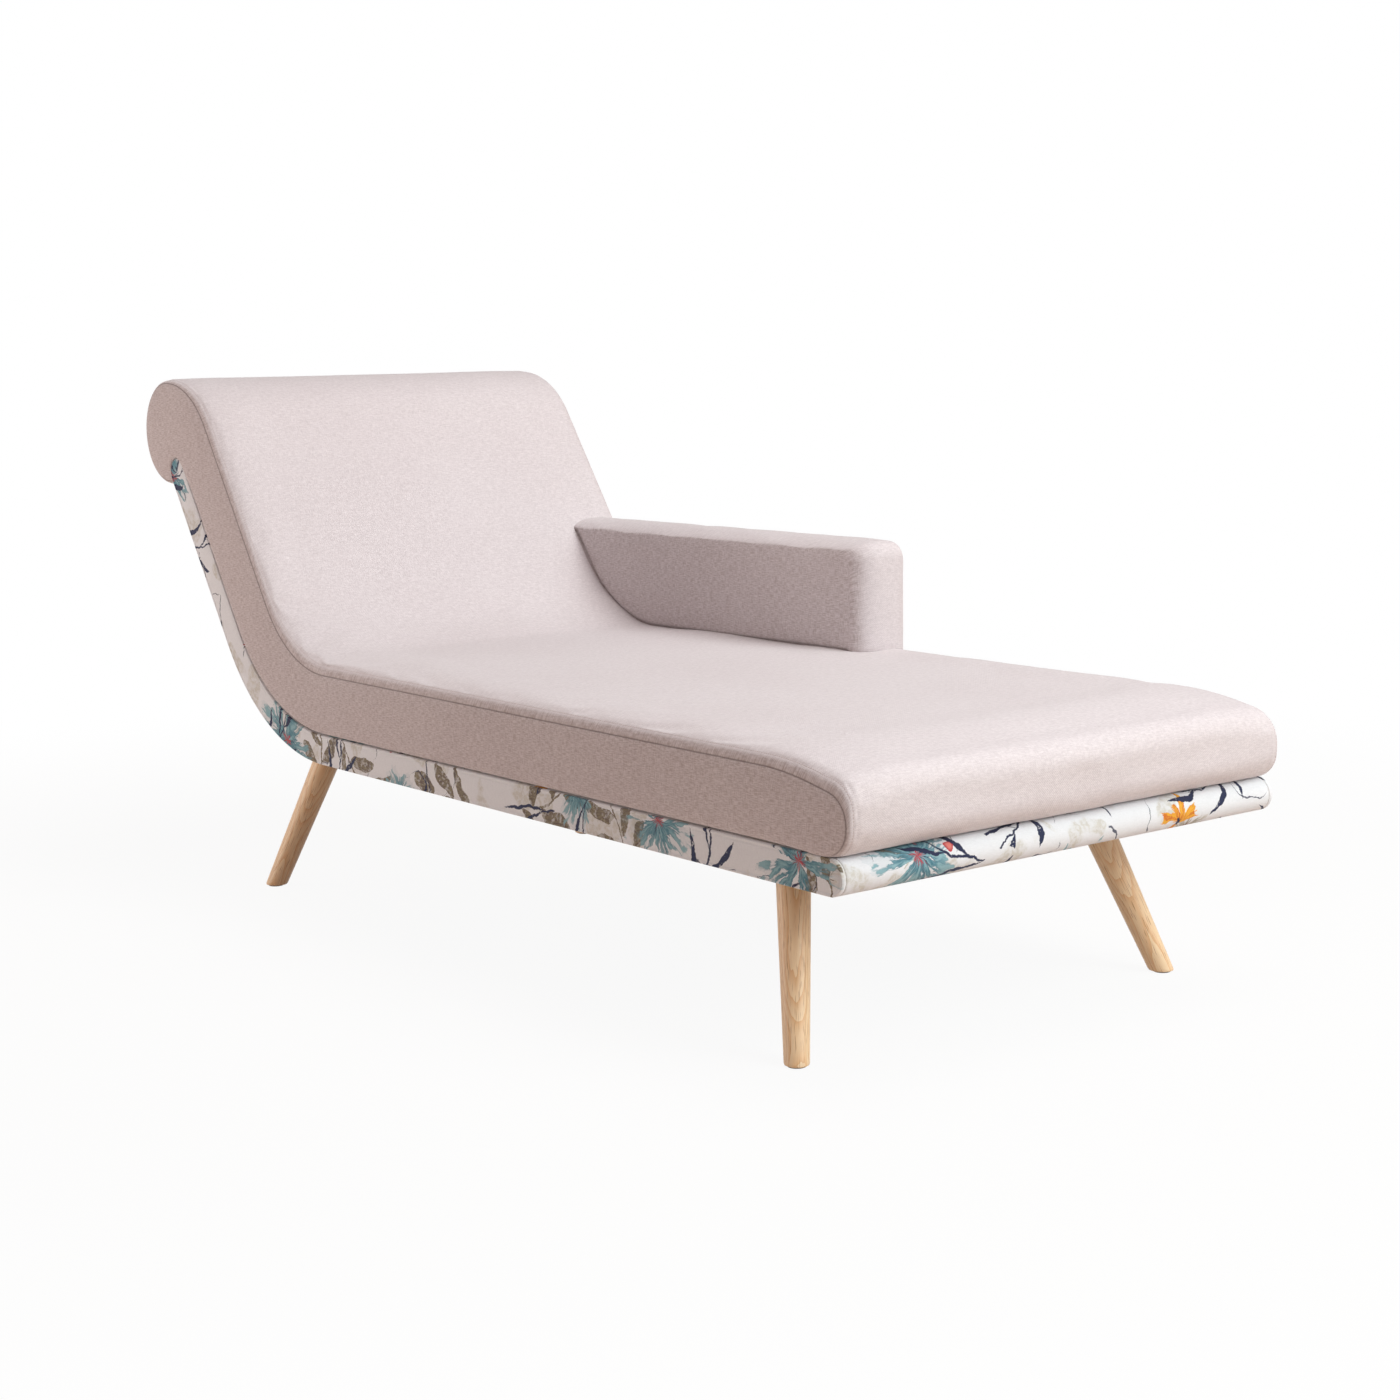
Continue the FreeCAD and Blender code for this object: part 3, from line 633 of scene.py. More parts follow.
oakWood = {
    "pale": tone(255, 226, 186), "dark": tone(236, 186, 132), "pore": tone(166, 110, 62),
    "rings": 290.0, "pithX": 0.062, "pithY": -0.050, "latePower": 2.0, "lateShare": 0.85,
    "bendScale": (9.0, 9.0, 4.2), "bend": 0.075, "wobbleScale": (60.0, 60.0, 5.0), "wobble": 0.009,
    "fibreStretch": (1.0, 1.0, 0.02), "fibres": 1300.0, "fibreBand": (0.3, 0.7, 0.0, 0.14),
    "fibreHeight": 0.4, "poreStretch": (1.0, 1.0, 0.04), "pores": 900.0, "poreBand": (0.60, 0.70, 0.0, 0.60),
    "depth": 0.00012,
}


def makeOak(name, place):
    # growth rings about a pith behind the leg, which show as flames; place gives across, across, along
    wire = newMaterial(name)
    oak = oakWood
    place = wire.attribute("grain", "Vector") if place == "grain" else wire.objectPlace()
    x, y, _ = wire.split(place)
    bend = wire.noise(wire.stretched(place, oak["bendScale"]), 1.0, 1.0)
    wobble = wire.noise(wire.stretched(place, oak["wobbleScale"]), 1.0, 2.0)
    across = wire.timesPlus(wire.minus(wobble, 0.5), oak["wobble"], wire.minus(x, oak["pithX"]))
    deep = wire.timesPlus(wire.minus(bend, 0.5), oak["bend"], wire.minus(y, oak["pithY"]))
    rings = wire.times(awayFrom(wire, across, deep), oak["rings"])
    late = wire.math("POWER", wire.math("FRACT", rings), oak["latePower"])
    fibres = wire.noise(wire.stretched(place, oak["fibreStretch"]), oak["fibres"], 2.0, 0.6)
    pores = wire.noise(wire.stretched(place, oak["poreStretch"]), oak["pores"], 1.0)
    pores = wire.stepped(pores, *oak["poreBand"])
    colour = wire.mix(wire.times(late, oak["lateShare"]), oak["pale"], oak["dark"])
    colour = wire.mix(pores, colour, oak["pore"])
    colour = wire.mix(wire.stepped(fibres, *oak["fibreBand"]), colour, oak["pore"], "MULTIPLY")
    height = wire.minus(wire.times(fibres, oak["fibreHeight"]), pores)
    return wire.finish(colour, wire.bump(height, oak["depth"]), roughness=0.42, coat=0.12, specular=0.4)


# Plain finishes with their own grain: colour and height from one noise
speckled = {
    "plywood": {"tones": (tone(214, 184, 140), tone(190, 154, 108)), "scale": 60.0, "depth": 0.0002,
                "stretch": (0.2, 1.0, 6.0), "roughness": 0.7},
    "dust_cloth": {"tones": (tone(30, 30, 31), tone(44, 44, 46)), "scale": 900.0, "depth": 0.0001,
                   "roughness": 0.9, "sheen": 0.1},
    "glide_felt": {"tones": (tone(150, 143, 134), tone(118, 112, 104)), "scale": 1500.0, "depth": 0.0002,
                   "roughness": 0.95, "sheen": 0.3},
    "zinc_steel": {"tones": (tone(196, 198, 202), tone(160, 163, 168)), "scale": 300.0, "depth": 0.00003,
                   "roughness": 0.35, "metal": 1.0},
    "webbing": {"tones": (tone(92, 84, 76), tone(60, 54, 50)), "scale": 700.0, "depth": 0.0002,
                "stretch": (1.0, 0.1, 1.0), "roughness": 0.85},
    "fibre_tube": {"tones": (tone(176, 146, 108), tone(146, 116, 82)), "scale": 200.0, "depth": 0.0002,
                   "stretch": (1.0, 0.2, 1.0), "roughness": 0.85},
    "foam": {"tones": (tone(236, 230, 208), tone(214, 206, 180)), "scale": 800.0, "depth": 0.0004,
             "roughness": 0.95},
}


def makeSpeckled(name, tones, scale, depth, stretch=1.0, detail=(3.0, 0.6), band=(0.32, 0.68), **finish):
    wire = newMaterial(name)
    grain = wire.noise(wire.stretched(wire.objectPlace(), stretch), scale, *detail)
    colour = wire.mix(wire.stepped(grain, *band), *tones)
    return wire.finish(colour, wire.bump(grain, depth), **finish)


def camelName(slot):
    first, *rest = slot.split("_")
    return first + "".join(word.capitalize() for word in rest)


materials = {
    "plain_cloth": makeMushroomCloth(), "printed_cloth": makePrintedCloth(),
    "leg_oak": makeOak("legOak", "grain"), "frame_wood": makeOak("frameWood", "object"),
}
for slot, settings in speckled.items():
    materials[slot] = makeSpeckled(camelName(slot), **settings)
print("divan: materials made")

for part in frame["record"]["subparts"]:
    node = nodes[part["node"]]
    node.data.materials.clear()
    node.data.materials.append(materials[part["material_slot"]])


def markSeamAndCreviceShade(piece, lines, width):
    # a point attribute that is 1 on the seam and joint lines and falls to 0 within their width; it masks
    # their painted shade
    spots = np.concatenate(lines)
    tree = KDTree(len(spots))
    for index, place in enumerate(spots):
        tree.insert(place, index)
    tree.balance()
    values = [math.exp(-(tree.find(v.co)[2] / width) ** 2) for v in piece.data.vertices]
    layer = piece.data.attributes.new("seam", "FLOAT", "POINT")
    layer.data.foreach_set("value", np.array(values, np.float32))


def dress(piece, slot, *replaced, finish=None):
    piece.data.materials.clear()
    piece.data.materials.append(finish or materials[slot])
    if replaced:
        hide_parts(*replaced)
    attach(piece, next(iter(frame["bodies"])))
    return piece


pad = {
    "seatDepth": 0.097, "backDepth": 0.109, "bendRadius": 0.215,
    "footFall": 0.023, "fallLength": 0.113, "fallRadius": 0.480,
    "footTop": 0.040, "footBottom": 0.038, "footLip": 0.006,
    "seatCrown": 0.025, "backCrown": 0.020, "footBulge": 0.009,
    "shoulder": 0.110, "shoulderPower": 0.75, "edgeRoll": 0.020, "edgeShare": 0.54,
    "rollRadius": 0.084, "rollRise": 0.151, "rollCrown": 0.006, "crestRadius": 0.160,
    "seamInset": 0.0012, "seamDepth": 0.0018, "seamWidth": 0.0018, "sideSeamShare": 0.6,
    "seamShade": 0.0009, "seamStep": 0.0008,
    "stitchInset": 0.0068, "stitchDepth": 0.0003, "stitchWidth": 0.0014, "stitchRow": 7, "stitchLift": 0.0001,
    "sideBulge": 0.0050, "bulgeTop": 0.022, "bulgeFoot": 0.007, "bulgeSpan": 0.07,
    "waves": 0.0006, "waveEdge": 0.010, "calmPoints": 12,
    "deckGap": 0.0003, "baseStart": -1.18, "baseSteps": 240, "capSteps": 16,
    "fallOnBase": 0.115, "bendOnBase": 1.13, "crestOnBase": 0.15,       # lengths on the line of padBase
    "middleRows": 27, "underColumns": 9, "sideApart": 3.0, "underApart": 9.0,
}
padCloth = {
    "mass": 0.3, "stiffness": 12.0, "bending": 0.6, "spare": 0.0015, "pressure": 0.06, "cap": 0.0030,
    "heldRows": 9, "heldStart": 3, "heldEnd": 4,
}
# points in each corner's arc and in the line after it, from under the foot end to the scroll's tail
padCounts = [(1, 1), (9, 2), (9, 4), (7, 72), (24, 14), (18, 1), (16, 0), (16, 6), (1, 0)]
# the top's rows from its seam to its full crown, and the side's rows from that seam to the shell, as shares
topShares = [0.0, 0.004, 0.010, 0.018, 0.028, 0.040, 0.051, 0.062, 0.073, 0.088, 0.108, 0.135, 0.17, 0.22,
             0.29, 0.39, 0.52, 0.68, 0.84, 1.0]
sideShares = [0.0, 0.012, 0.03, 0.06, 0.12, 0.22, 0.36, 0.5, 0.64, 0.78, 0.88, 0.95, 1.0]
headCentre = pathPoint(runEnd, -endRadius)
rollTop = headCentre[1] + pad["rollRise"]
lipX = divan["footX"] - pad["footBottom"] - pad["footLip"]


def padOutline(crown):
    # from under the foot end over the seat and back, round the scroll, to the shell's back face
    seatZ = divan["deckZ"] + pad["seatDepth"] + crown * pad["seatCrown"]
    backRise = pad["backDepth"] + crown * pad["backCrown"]
    frontX = divan["footX"] + crown * pad["footBulge"]
    topZ = rollTop + crown * pad["rollCrown"]
    tailX = divan["rollX"] - crown * pad["rollCrown"]
    radius = pad["rollRadius"] + crown * pad["rollCrown"]
    lowZ = topZ - radius * 2
    base = divan["deckZ"] + pad["deckGap"]
    corners = [
        (lipX, base, 0),
        (frontX, base, pad["footBottom"]),
        (frontX, seatZ - pad["footFall"], pad["footTop"]),
        (frontX - pad["fallLength"], seatZ, pad["fallRadius"]),
        (*crossPoint(seatZ, backRise), pad["bendRadius"]),
        (*crossPoint(topZ, backRise), pad["crestRadius"]),
        (tailX, topZ, radius),
        (tailX, lowZ, radius),
        (*crossPoint(lowZ, -divan["slab"] - pad["deckGap"]), 0),
    ]
    return roundOutline(corners, padCounts)


def pointsBefore(corner):
    return sum(arc + line for arc, line in padCounts[:corner])


def padCrown(inset):
    # how much of the crown the pad has at that distance from its seam: a small roll, then a broad swell
    share = min(inset / pad["shoulder"], 1)
    roll = min(inset / pad["edgeRoll"], 1)
    broad = (1 - (1 - share) ** 2) ** pad["shoulderPower"]
    return pad["edgeShare"] * math.sqrt(1 - (1 - roll) ** 2) + (1 - pad["edgeShare"]) * broad


def padBase():
    # the line on the shell that the pad's sides end on: along the deck and round the shell's head
    gap = pad["deckGap"]
    points = [pathPoint(divan["bendX"] - lipX, gap)]
    points += [pathPoint(run, gap) for run in np.linspace(pad["baseStart"], runEnd, pad["baseSteps"])]
    along = Vector((-math.cos(divan["lean"]), math.sin(divan["lean"])))
    square = Vector((math.sin(divan["lean"]), math.cos(divan["lean"])))
    for angle in np.linspace(0, math.pi, pad["capSteps"])[1:]:
        reach = square * math.cos(angle) * (endRadius + gap) + along * math.sin(angle) * (endRadius + gap)
        points.append((headCentre[0] + reach.x, headCentre[1] + reach.y))
    points.append(tuple(padOutline(0)[-1]))
    return np.array(points)


def matchAlong(base, marks, count):
    # points of a line at chosen lengths: marks give the length on the base for some points of the outline
    lengths = alongLengths(base)
    want = np.interp(np.arange(count), list(marks), list(marks.values()))
    return np.stack((np.interp(want, lengths, base[:, 0]), np.interp(want, lengths, base[:, 1])), axis=1)


clothWaves = {
    "crossing": ((31.0, 9.0, 0.8), (12.3, -21.0, 2.1)), "fine": (57.0, 30.0, 4.0), "fineShare": 0.6,
}


def uneven(along, across):
    # the slight waves of hand-stretched cloth, in metres
    broad, cross = (np.sin(along * a + across * b + c) for a, b, c in clothWaves["crossing"])
    a, b, c = clothWaves["fine"]
    fine = np.sin(along * a + np.sin(across * b + c))
    return (broad * cross + clothWaves["fineShare"] * fine) * pad["waves"]


def stationRow(line, hand, inset, depth):
    # one row of the top panel, sunk by depth square to the outline
    return stationed(line - squareTo(line) * depth, hand * (halfWidth(line[:, 0]) - inset))


def padTopRows():
    rows = []
    for share in topShares:
        inset = share * pad["shoulder"]
        depth = pad["seamDepth"] * bell(inset, pad["seamWidth"])
        depth += pad["stitchDepth"] * bell(inset - pad["stitchInset"], pad["stitchWidth"])
        rows.append((padOutline(padCrown(inset)), pad["seamInset"] + inset, depth))
    full = padOutline(1.0)
    grid = [stationRow(line, -1, inset, depth) for line, inset, depth in rows]
    for share in np.linspace(-1, 1, pad["middleRows"])[1:-1]:
        grid.append(stationed(full, share * (halfWidth(full[:, 0]) - pad["seamInset"] - pad["shoulder"])))
    grid += [stationRow(line, 1, inset, depth) for line, inset, depth in rows[::-1]]
    return clothShift(np.array(grid), padCloth), alongLengths(full)


def padSide(hand, firstRow, lengths, edge, foot):
    # one side panel, from the top panel's own edge down to the shell
    # round the scroll the sides narrow to the shell's head, so the cloth's waves fade out there
    calm = np.clip((pointsBefore(5) - np.arange(len(edge))) / pad["calmPoints"] + 1, 0, 1)
    span = np.linalg.norm(edge - foot, axis=1)
    panel = [firstRow]
    for share in sideShares[1:]:
        line = edge + (foot - edge) * share
        down = span * share
        up = span * (1 - share)
        swell = pad["sideBulge"] * rising(down, pad["bulgeTop"]) * rising(up, pad["bulgeFoot"])
        waves = uneven(lengths, down + hand) * calm
        swell += waves * rising(down, pad["waveEdge"]) * rising(up, pad["waveEdge"])
        swell *= np.clip(span / pad["bulgeSpan"], 0, 1)
        groove = pad["seamDepth"] * bell(down, pad["seamWidth"]) * pad["sideSeamShare"]
        panel.append(stationed(line, hand * (halfWidth(line[:, 0]) - pad["seamInset"] + swell - groove)))
    return np.array(panel)


def buildPad():
    top, lengths = padTopRows()
    grids = [(top, flatten(lengths, top[:, :, 1]))]
    edge, base = padOutline(0.0), padBase()
    count, whole = len(edge), alongLengths(base)[-1]
    fallEnd = pointsBefore(3) + padCounts[3][0]
    marks = {0: 0.0, fallEnd: pad["fallOnBase"], pointsBefore(4): pad["bendOnBase"],
             pointsBefore(5): whole - pad["crestOnBase"], count - 1: whole}
    foot = matchAlong(base, marks, count)
    feet = []
    for hand, firstRow in ((-1, top[0]), (1, top[-1])):
        panel = padSide(hand, firstRow, lengths, edge, foot)
        grids.append((panel, flatten(panel[:, :, 2] + pad["sideApart"] * hand, panel[:, :, 0])))
        feet.append(panel[-1])
    shares = np.linspace(0, 1, pad["underColumns"])
    under = np.array([feet[0] + (feet[1] - feet[0]) * share for share in shares])
    grids.append((under, flatten(under[:, :, 0], under[:, :, 1] + pad["underApart"])))
    # the tail and the lip end, between the top's rows and the underside
    picks = np.round(np.linspace(0, pad["underColumns"] - 1, len(top))).astype(int)
    for column in (0, -1):
        ends = np.array([top[:, column], under[picks, column]])
        grids.append((ends, ends[:, :, :2]))
    return gridMesh("padUpholstery", grids), top, feet


padPiece, padTop, padFeet = buildPad()
subdivided(padPiece)
# painted shade along the top panel's seams and along the foot lines where the pad meets the shell
padShadeLines = [densePoints(line, pad["seamStep"]) for line in (padTop[0], padTop[-1], *padFeet)]
markSeamAndCreviceShade(padPiece, padShadeLines, pad["seamShade"])
dress(padPiece, "plain_cloth", "pad_cover", "pad_foam", "pad_side_panel_near", "pad_side_panel_far")
print("divan: pad built,", len(padPiece.data.polygons), "faces")


arm = {
    "thickness": 0.104, "sideInset": 0.0015, "reach": 0.530, "height": 0.274, "crown": 0.017,
    "frontRadius": 0.026, "frontBulge": 0.005, "cornerRadius": 0.034, "cornerShare": 0.78,
    "sunk": 0.006, "backShare": 1.5, "backSpare": 0.02, "onPad": slice(20, 160),
    "topWaves": 0.9, "topWaveFade": 0.004, "sideWaves": 1.5, "waveFade": 0.03, "waveEdge": 0.012,
    "sideBulge": 0.005, "bulgeSpan": 0.15, "bulgeTop": 0.03, "bulgeFoot": 0.05,
    "tuck": 0.0045, "tuckWidth": 0.0045, "tuckSpan": 0.05, "tuckEdge": 0.004,
    "jointShade": 0.0036, "jointStep": 0.001, "apart": 5.0,
    "rowShares": [0.0, 0.004, 0.012, 0.025, 0.045, 0.075, 0.12, 0.18, 0.26, 0.36, 0.5],
    "sideShares": [0.0, 0.03, 0.08, 0.16, 0.28, 0.42, 0.58, 0.72, 0.84],
    "footHeights": [0.022, 0.015, 0.011, 0.008, 0.0055, 0.0], "footShare": 0.14, "footShareStep": 0.02,
}
armCloth = {
    "mass": 0.3, "stiffness": 14.0, "bending": 0.8, "spare": 0.0012, "pressure": 0.8, "cap": 0.0010,
    "heldRows": 2, "heldStart": 1, "heldEnd": 2,
}
armFront = divan["bendX"] + arm["reach"]
armTop = divan["deckZ"] + arm["height"]
armCounts = [(1, 12), (9, 46), (1, 0)]


def armRow(share):
    # one lengthwise row of the arm: its outline up the front, along the top and into the back, and its base
    inset = arm["sideInset"] + share * arm["thickness"]
    seat = padOutline(padCrown(inset - pad["seamInset"]))[arm["onPad"]]
    start = np.argmin(np.abs(seat[:, 0] - armFront))
    stop = np.argmax(seat[:, 1] > armTop + arm["crown"] + arm["backSpare"])
    crown = math.sqrt(max(1 - (1 - 2 * share) ** 2, 0))
    near = max(arm["cornerRadius"] - min(share, 1 - share) * arm["thickness"], 0)
    turnedIn = arm["cornerRadius"] - math.sqrt(arm["cornerRadius"] ** 2 - near ** 2)
    frontX = armFront - turnedIn * arm["cornerShare"] + crown * arm["frontBulge"]
    topZ = armTop + crown * arm["crown"]
    seatHere = np.interp(frontX, seat[::-1, 0], seat[::-1, 1]) - arm["sunk"]
    backX = np.interp(topZ, seat[:, 1], seat[:, 0]) - arm["sunk"] * arm["backShare"]
    corners = [(frontX, seatHere, 0), (frontX, topZ, arm["frontRadius"]), (backX, topZ, 0)]
    line = roundOutline(corners, armCounts)
    onTop = np.clip((line[:, 1] - armTop) / arm["topWaveFade"] + 2, 0, 1)
    y = halfWidth(line[:, 0]) - inset
    line[:, 1] += uneven(line[:, 0], share) * arm["topWaves"] * onTop
    # under it, along the pad from the front to the back
    floorX = seat[start:stop, 0]
    under = np.interp(np.linspace(0, 1, len(line)), np.linspace(0, 1, len(floorX)), floorX)
    x = frontX + (backX - frontX) * (under - under[0]) / (under[-1] - under[0])
    z = np.interp(x, seat[::-1, 0], seat[::-1, 1]) - arm["sunk"]
    # inside the back the pad rises past the arm's top, and the base stays under that top
    z = np.minimum(z, topZ - arm["sunk"])
    z[0], z[-1] = line[0, 1], line[-1, 1]
    return stationed(line, y), np.stack((x, halfWidth(x) - inset, z), axis=1)


def armSide(top, base, hand):
    # one side panel and the line where it meets the pad
    span = np.linalg.norm(base - top, axis=1)
    ups = [span * (1 - share) for share in arm["sideShares"]]
    for step, height in enumerate(arm["footHeights"]):
        ups.append(np.minimum(height, span * (arm["footShare"] - arm["footShareStep"] * step)))
    panel = []
    for up in ups:
        down = span - up
        line = top + (base - top) * (1 - up / np.maximum(span, meshing["samePoint"]))[:, None]
        swell = arm["sideBulge"] * np.clip(span / arm["bulgeSpan"], 0, 1) * rising(down, arm["bulgeTop"])
        swell *= rising(up, arm["bulgeFoot"])
        waves = uneven(top[:, 0], up * hand) * arm["sideWaves"] * np.clip(up / arm["waveFade"], 0, 1)
        swell += waves * rising(down, arm["waveEdge"])
        tuck = arm["tuck"] * bell(up - arm["sunk"], arm["tuckWidth"]) * np.clip(span / arm["tuckSpan"], 0, 1)
        swell -= tuck * rising(down, arm["tuckEdge"])
        # the last row lies on the base's own edge
        swell *= up > 0
        line[:, 1] += hand * swell
        panel.append(line)
    joint = top + (base - top) * (1 - arm["sunk"] / np.maximum(span, arm["sunk"]))[:, None]
    return np.array(panel), densePoints(joint, arm["jointStep"])


def buildArm():
    shares = arm["rowShares"] + [1 - s for s in arm["rowShares"][-2::-1]]
    cover, base = (np.array(rows) for rows in zip(*(armRow(share) for share in shares)))
    cover = clothShift(cover, armCloth)
    lengths = alongLengths(cover[len(cover) // 2][:, [0, 2]])
    grids = [(cover, flatten(lengths, np.array(shares)[:, None] * arm["thickness"]))]
    grids.append((base, base[:, :, :2] + arm["apart"]))
    joints = []
    for row, hand in ((0, 1), (-1, -1)):
        panel, joint = armSide(cover[row], base[row], hand)
        grids.append((panel, flatten(panel[:, :, 2] + hand * arm["apart"], panel[:, :, 0])))
        joints.append(joint)
    return gridMesh("armUpholstery", grids), joints


armPiece, armJoints = buildArm()
subdivided(armPiece)
# painted shade along the line where the arm sinks into the pad
markSeamAndCreviceShade(armPiece, armJoints, arm["jointShade"])
dress(armPiece, "plain_cloth", "arm_cover", "arm_foam")
print("divan: arm built,", len(armPiece.data.polygons), "faces")


shell = {
    "cord": 0.0032, "groove": 0.0064, "grooveDepth": 0.0012, "grooveWidth": 0.0010, "bandBulge": 0.0008,
    "step": 0.009, "capPoints": 15, "wrapRows": 17, "seamShade": 0.0010, "seamStep": 0.001,
    "printNear": -1.677, "printFar": 2.0, "printWrap": 5.76,
}


def shellRing():
    # the shell's outline, each point's partner on the middle line, its run and its rise
    ring = []
    top = np.linspace(-divan["seatLength"], runEnd, int((divan["seatLength"] + runEnd) / shell["step"]))

    def addFace(runs, rise):
        ring.extend((pathPoint(run, rise), pathPoint(run, -endRadius), run, rise) for run in runs)

    def addCap(run, lean, way):
        centre = pathPoint(run, -endRadius)
        along = np.array((-math.cos(lean), math.sin(lean))) * way
        square = np.array((math.sin(lean), math.cos(lean))) * way
        for angle in np.linspace(0, math.pi, shell["capPoints"] + 2)[1:-1]:
            spot = np.array(centre) + (square * math.cos(angle) + along * math.sin(angle)) * endRadius
            ring.append((tuple(spot), centre, run + way * endRadius * math.sin(angle),
                         -endRadius + way * endRadius * math.cos(angle)))

    addFace(top, 0.0)
    addCap(runEnd, divan["lean"], 1)
    addFace(top[::-1], -divan["slab"])
    addCap(-divan["seatLength"], 0.0, -1)
    ring.append(ring[0])
    return [np.array(column) for column in zip(*ring)]


def shellProfile():
    # from the middle of the band over its corded edge onto the wrap: inset from the edge, drop from the side
    cord, groove, bulge = shell["cord"], shell["groove"], shell["bandBulge"]
    band = [(endRadius, -bulge), (endRadius * 0.7, -bulge * 0.9), (cord * 2.6, -bulge * 0.5),
            (cord * 1.8, -bulge * 0.2), (cord * 1.5, 0.0004), (cord * 1.2, -bulge * 0.2),
            (cord * 0.9, -0.0006), (cord * 0.5, -0.0008), (cord * 0.2, -0.0001),
            (0.0, cord * 0.4), (0.0, cord)]
    wrap = [(0.0, groove - shell["grooveWidth"]), (shell["grooveDepth"], groove),
            (0.0, groove + shell["grooveWidth"]), (0.0, 0.010), (0.0, 0.020), (0.0, 0.045)]
    return band + wrap, len(band) - 1, len(band) + 1


def buildShell():
    outer, inner, runs, rises = shellRing()
    inwards = inner - outer
    reach = np.linalg.norm(inwards, axis=1, keepdims=True)
    inwards /= reach
    profile, wrapStart, grooveRow = shellProfile()
    rows = []
    for inset, drop in profile:
        line = outer + inwards * np.minimum(inset, reach)
        rows.append(stationed(line, halfWidth(line[:, 0]) - drop))
    rows = np.array(rows)
    insets = np.array([inset for inset, _ in profile[:wrapStart + 1]])[:, None]
    offMiddle = np.abs(rises + endRadius) > meshing["samePoint"]
    depth = rises + np.where(rises > -endRadius, -1.0, 1.0) * insets * offMiddle
    grids, rims = [], []
    for hand, shift in ((-1, shell["printNear"]), (1, shell["printFar"])):
        rims.append(densePoints(rows[grooveRow] * (1, hand, 1), shell["seamStep"]))
        grids.append((rows[:wrapStart + 1] * (1, hand, 1), flatten(-runs, depth + shift)))
    middle = [rows[-1] * (1, share, 1) for share in np.linspace(-1, 1, shell["wrapRows"])[1:-1]]
    wrap = np.array([*(rows[wrapStart:] * (1, -1, 1)), *middle, *rows[wrapStart:][::-1]])
    grids.append((wrap, flatten(alongLengths(outer), wrap[:, :, 1] + shell["printWrap"])))
    return gridMesh("shellPrintedCover", grids), rims


shellPiece, shellRims = buildShell()
# a seam line and painted shade in the groove by the wrap's corded edge
markSeamAndCreviceShade(shellPiece, shellRims, shell["seamShade"])
dress(shellPiece, "printed_cloth", "shell_wrap_cover", "shell_side_band_near", "shell_side_band_far")
print("divan: shell built,", len(shellPiece.data.polygons), "faces")


legs = {
    "topRadius": 0.0235, "footRadius": 0.0165, "footInset": 0.051, "topGap": 0.004, "glide": 0.002,
    "frontSetback": 0.122, "rearSetback": 0.265,
    "splayAlong": math.radians(19.3), "splayAcross": math.radians(16.2),
    "sides": 48, "rings": 26, "edge": 0.0016,
    # rings at the rounded foot: their share of the leg's length, and how much smaller they are
    "footShares": [0.0, 0.0, 0.002, 0.005, 0.009], "firstRing": 0.02,
}
rounding = [edge / legs["footRadius"] for edge in (legs["edge"], legs["edge"] * 0.35)]
legs["footShrinks"] = [0.35, *rounding, 0.02]
# name: x, way it leans along the divan, side, and where its grain starts in the wood
frontX = divan["bendX"] + divan["seatLength"] - legs["frontSetback"]
rearX = divan["bendX"] - legs["rearSetback"]
legPlaces = {
    "front_near": (frontX, -1, -1, 0.0), "front_far": (frontX, -1, 1, 2.79),
    "rear_near": (rearX, 1, -1, 6.03), "rear_far": (rearX, 1, 1, 9.27),
}


def buildLeg(name, x, along, hand, grainStart):
    foot = Vector((x, hand * (halfWidth(x) - legs["footInset"]), 0))
    slopes = along * math.tan(legs["splayAlong"]), -hand * math.tan(legs["splayAcross"])
    way = Vector((*slopes, 1)).normalized()
    _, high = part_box("leg_" + name)
    reach = (high.z - legs["topGap"]) / way.z
    across = way.cross(Vector((0, 1, 0))).normalized()
    other = way.cross(across).normalized()
    count = legs["sides"]
    verts, faces, grain = [], [], []
    shares = legs["footShares"] + list(np.linspace(legs["firstRing"], 1.0, legs["rings"]))
    shrinks = legs["footShrinks"] + [0] * legs["rings"] + [0]
    for share, shrink in zip(shares, shrinks):
        for side in range(count):
            angle = math.tau * side / count
            radius = (legs["footRadius"] + (legs["topRadius"] - legs["footRadius"]) * share) * (1 - shrink)
            spoke = (across * math.cos(angle) + other * math.sin(angle)) * radius
            start = (legs["glide"] - foot.z - spoke.z) / way.z
            run = start + (reach - start) * share
            verts.append(tuple(foot + spoke + way * run))
            grain.append((spoke.dot(across), spoke.dot(other), run + grainStart))
    for ring in range(len(shares) - 1):
        here, above = ring * count, (ring + 1) * count
        for side in range(count):
            after = (side + 1) % count
            faces.append([here + side, here + after, above + after, above + side])
    faces.append(list(range(count))[::-1])
    faces.append([(len(shares) - 1) * count + side for side in range(count)])
    mesh = newMesh("leg", verts, faces)
    layer = mesh.attributes.new("grain", "FLOAT_VECTOR", "POINT")
    layer.data.foreach_set("vector", np.array(grain).astype(np.float32).ravel())
    turnOutwards(mesh, merge=False)
    mesh.polygons.foreach_set("use_smooth", [len(polygon.vertices) == 4 for polygon in mesh.polygons])
    piece = addObject(camelName("leg_turned_" + name), mesh)
    dress(piece, "leg_oak", "leg_" + name)


for name, place in legPlaces.items():
    buildLeg(name, *place)
print("divan: legs turned")


stitches = {"Pitch": 0.0042, "Length": 0.0032, "Thickness": 0.0007}


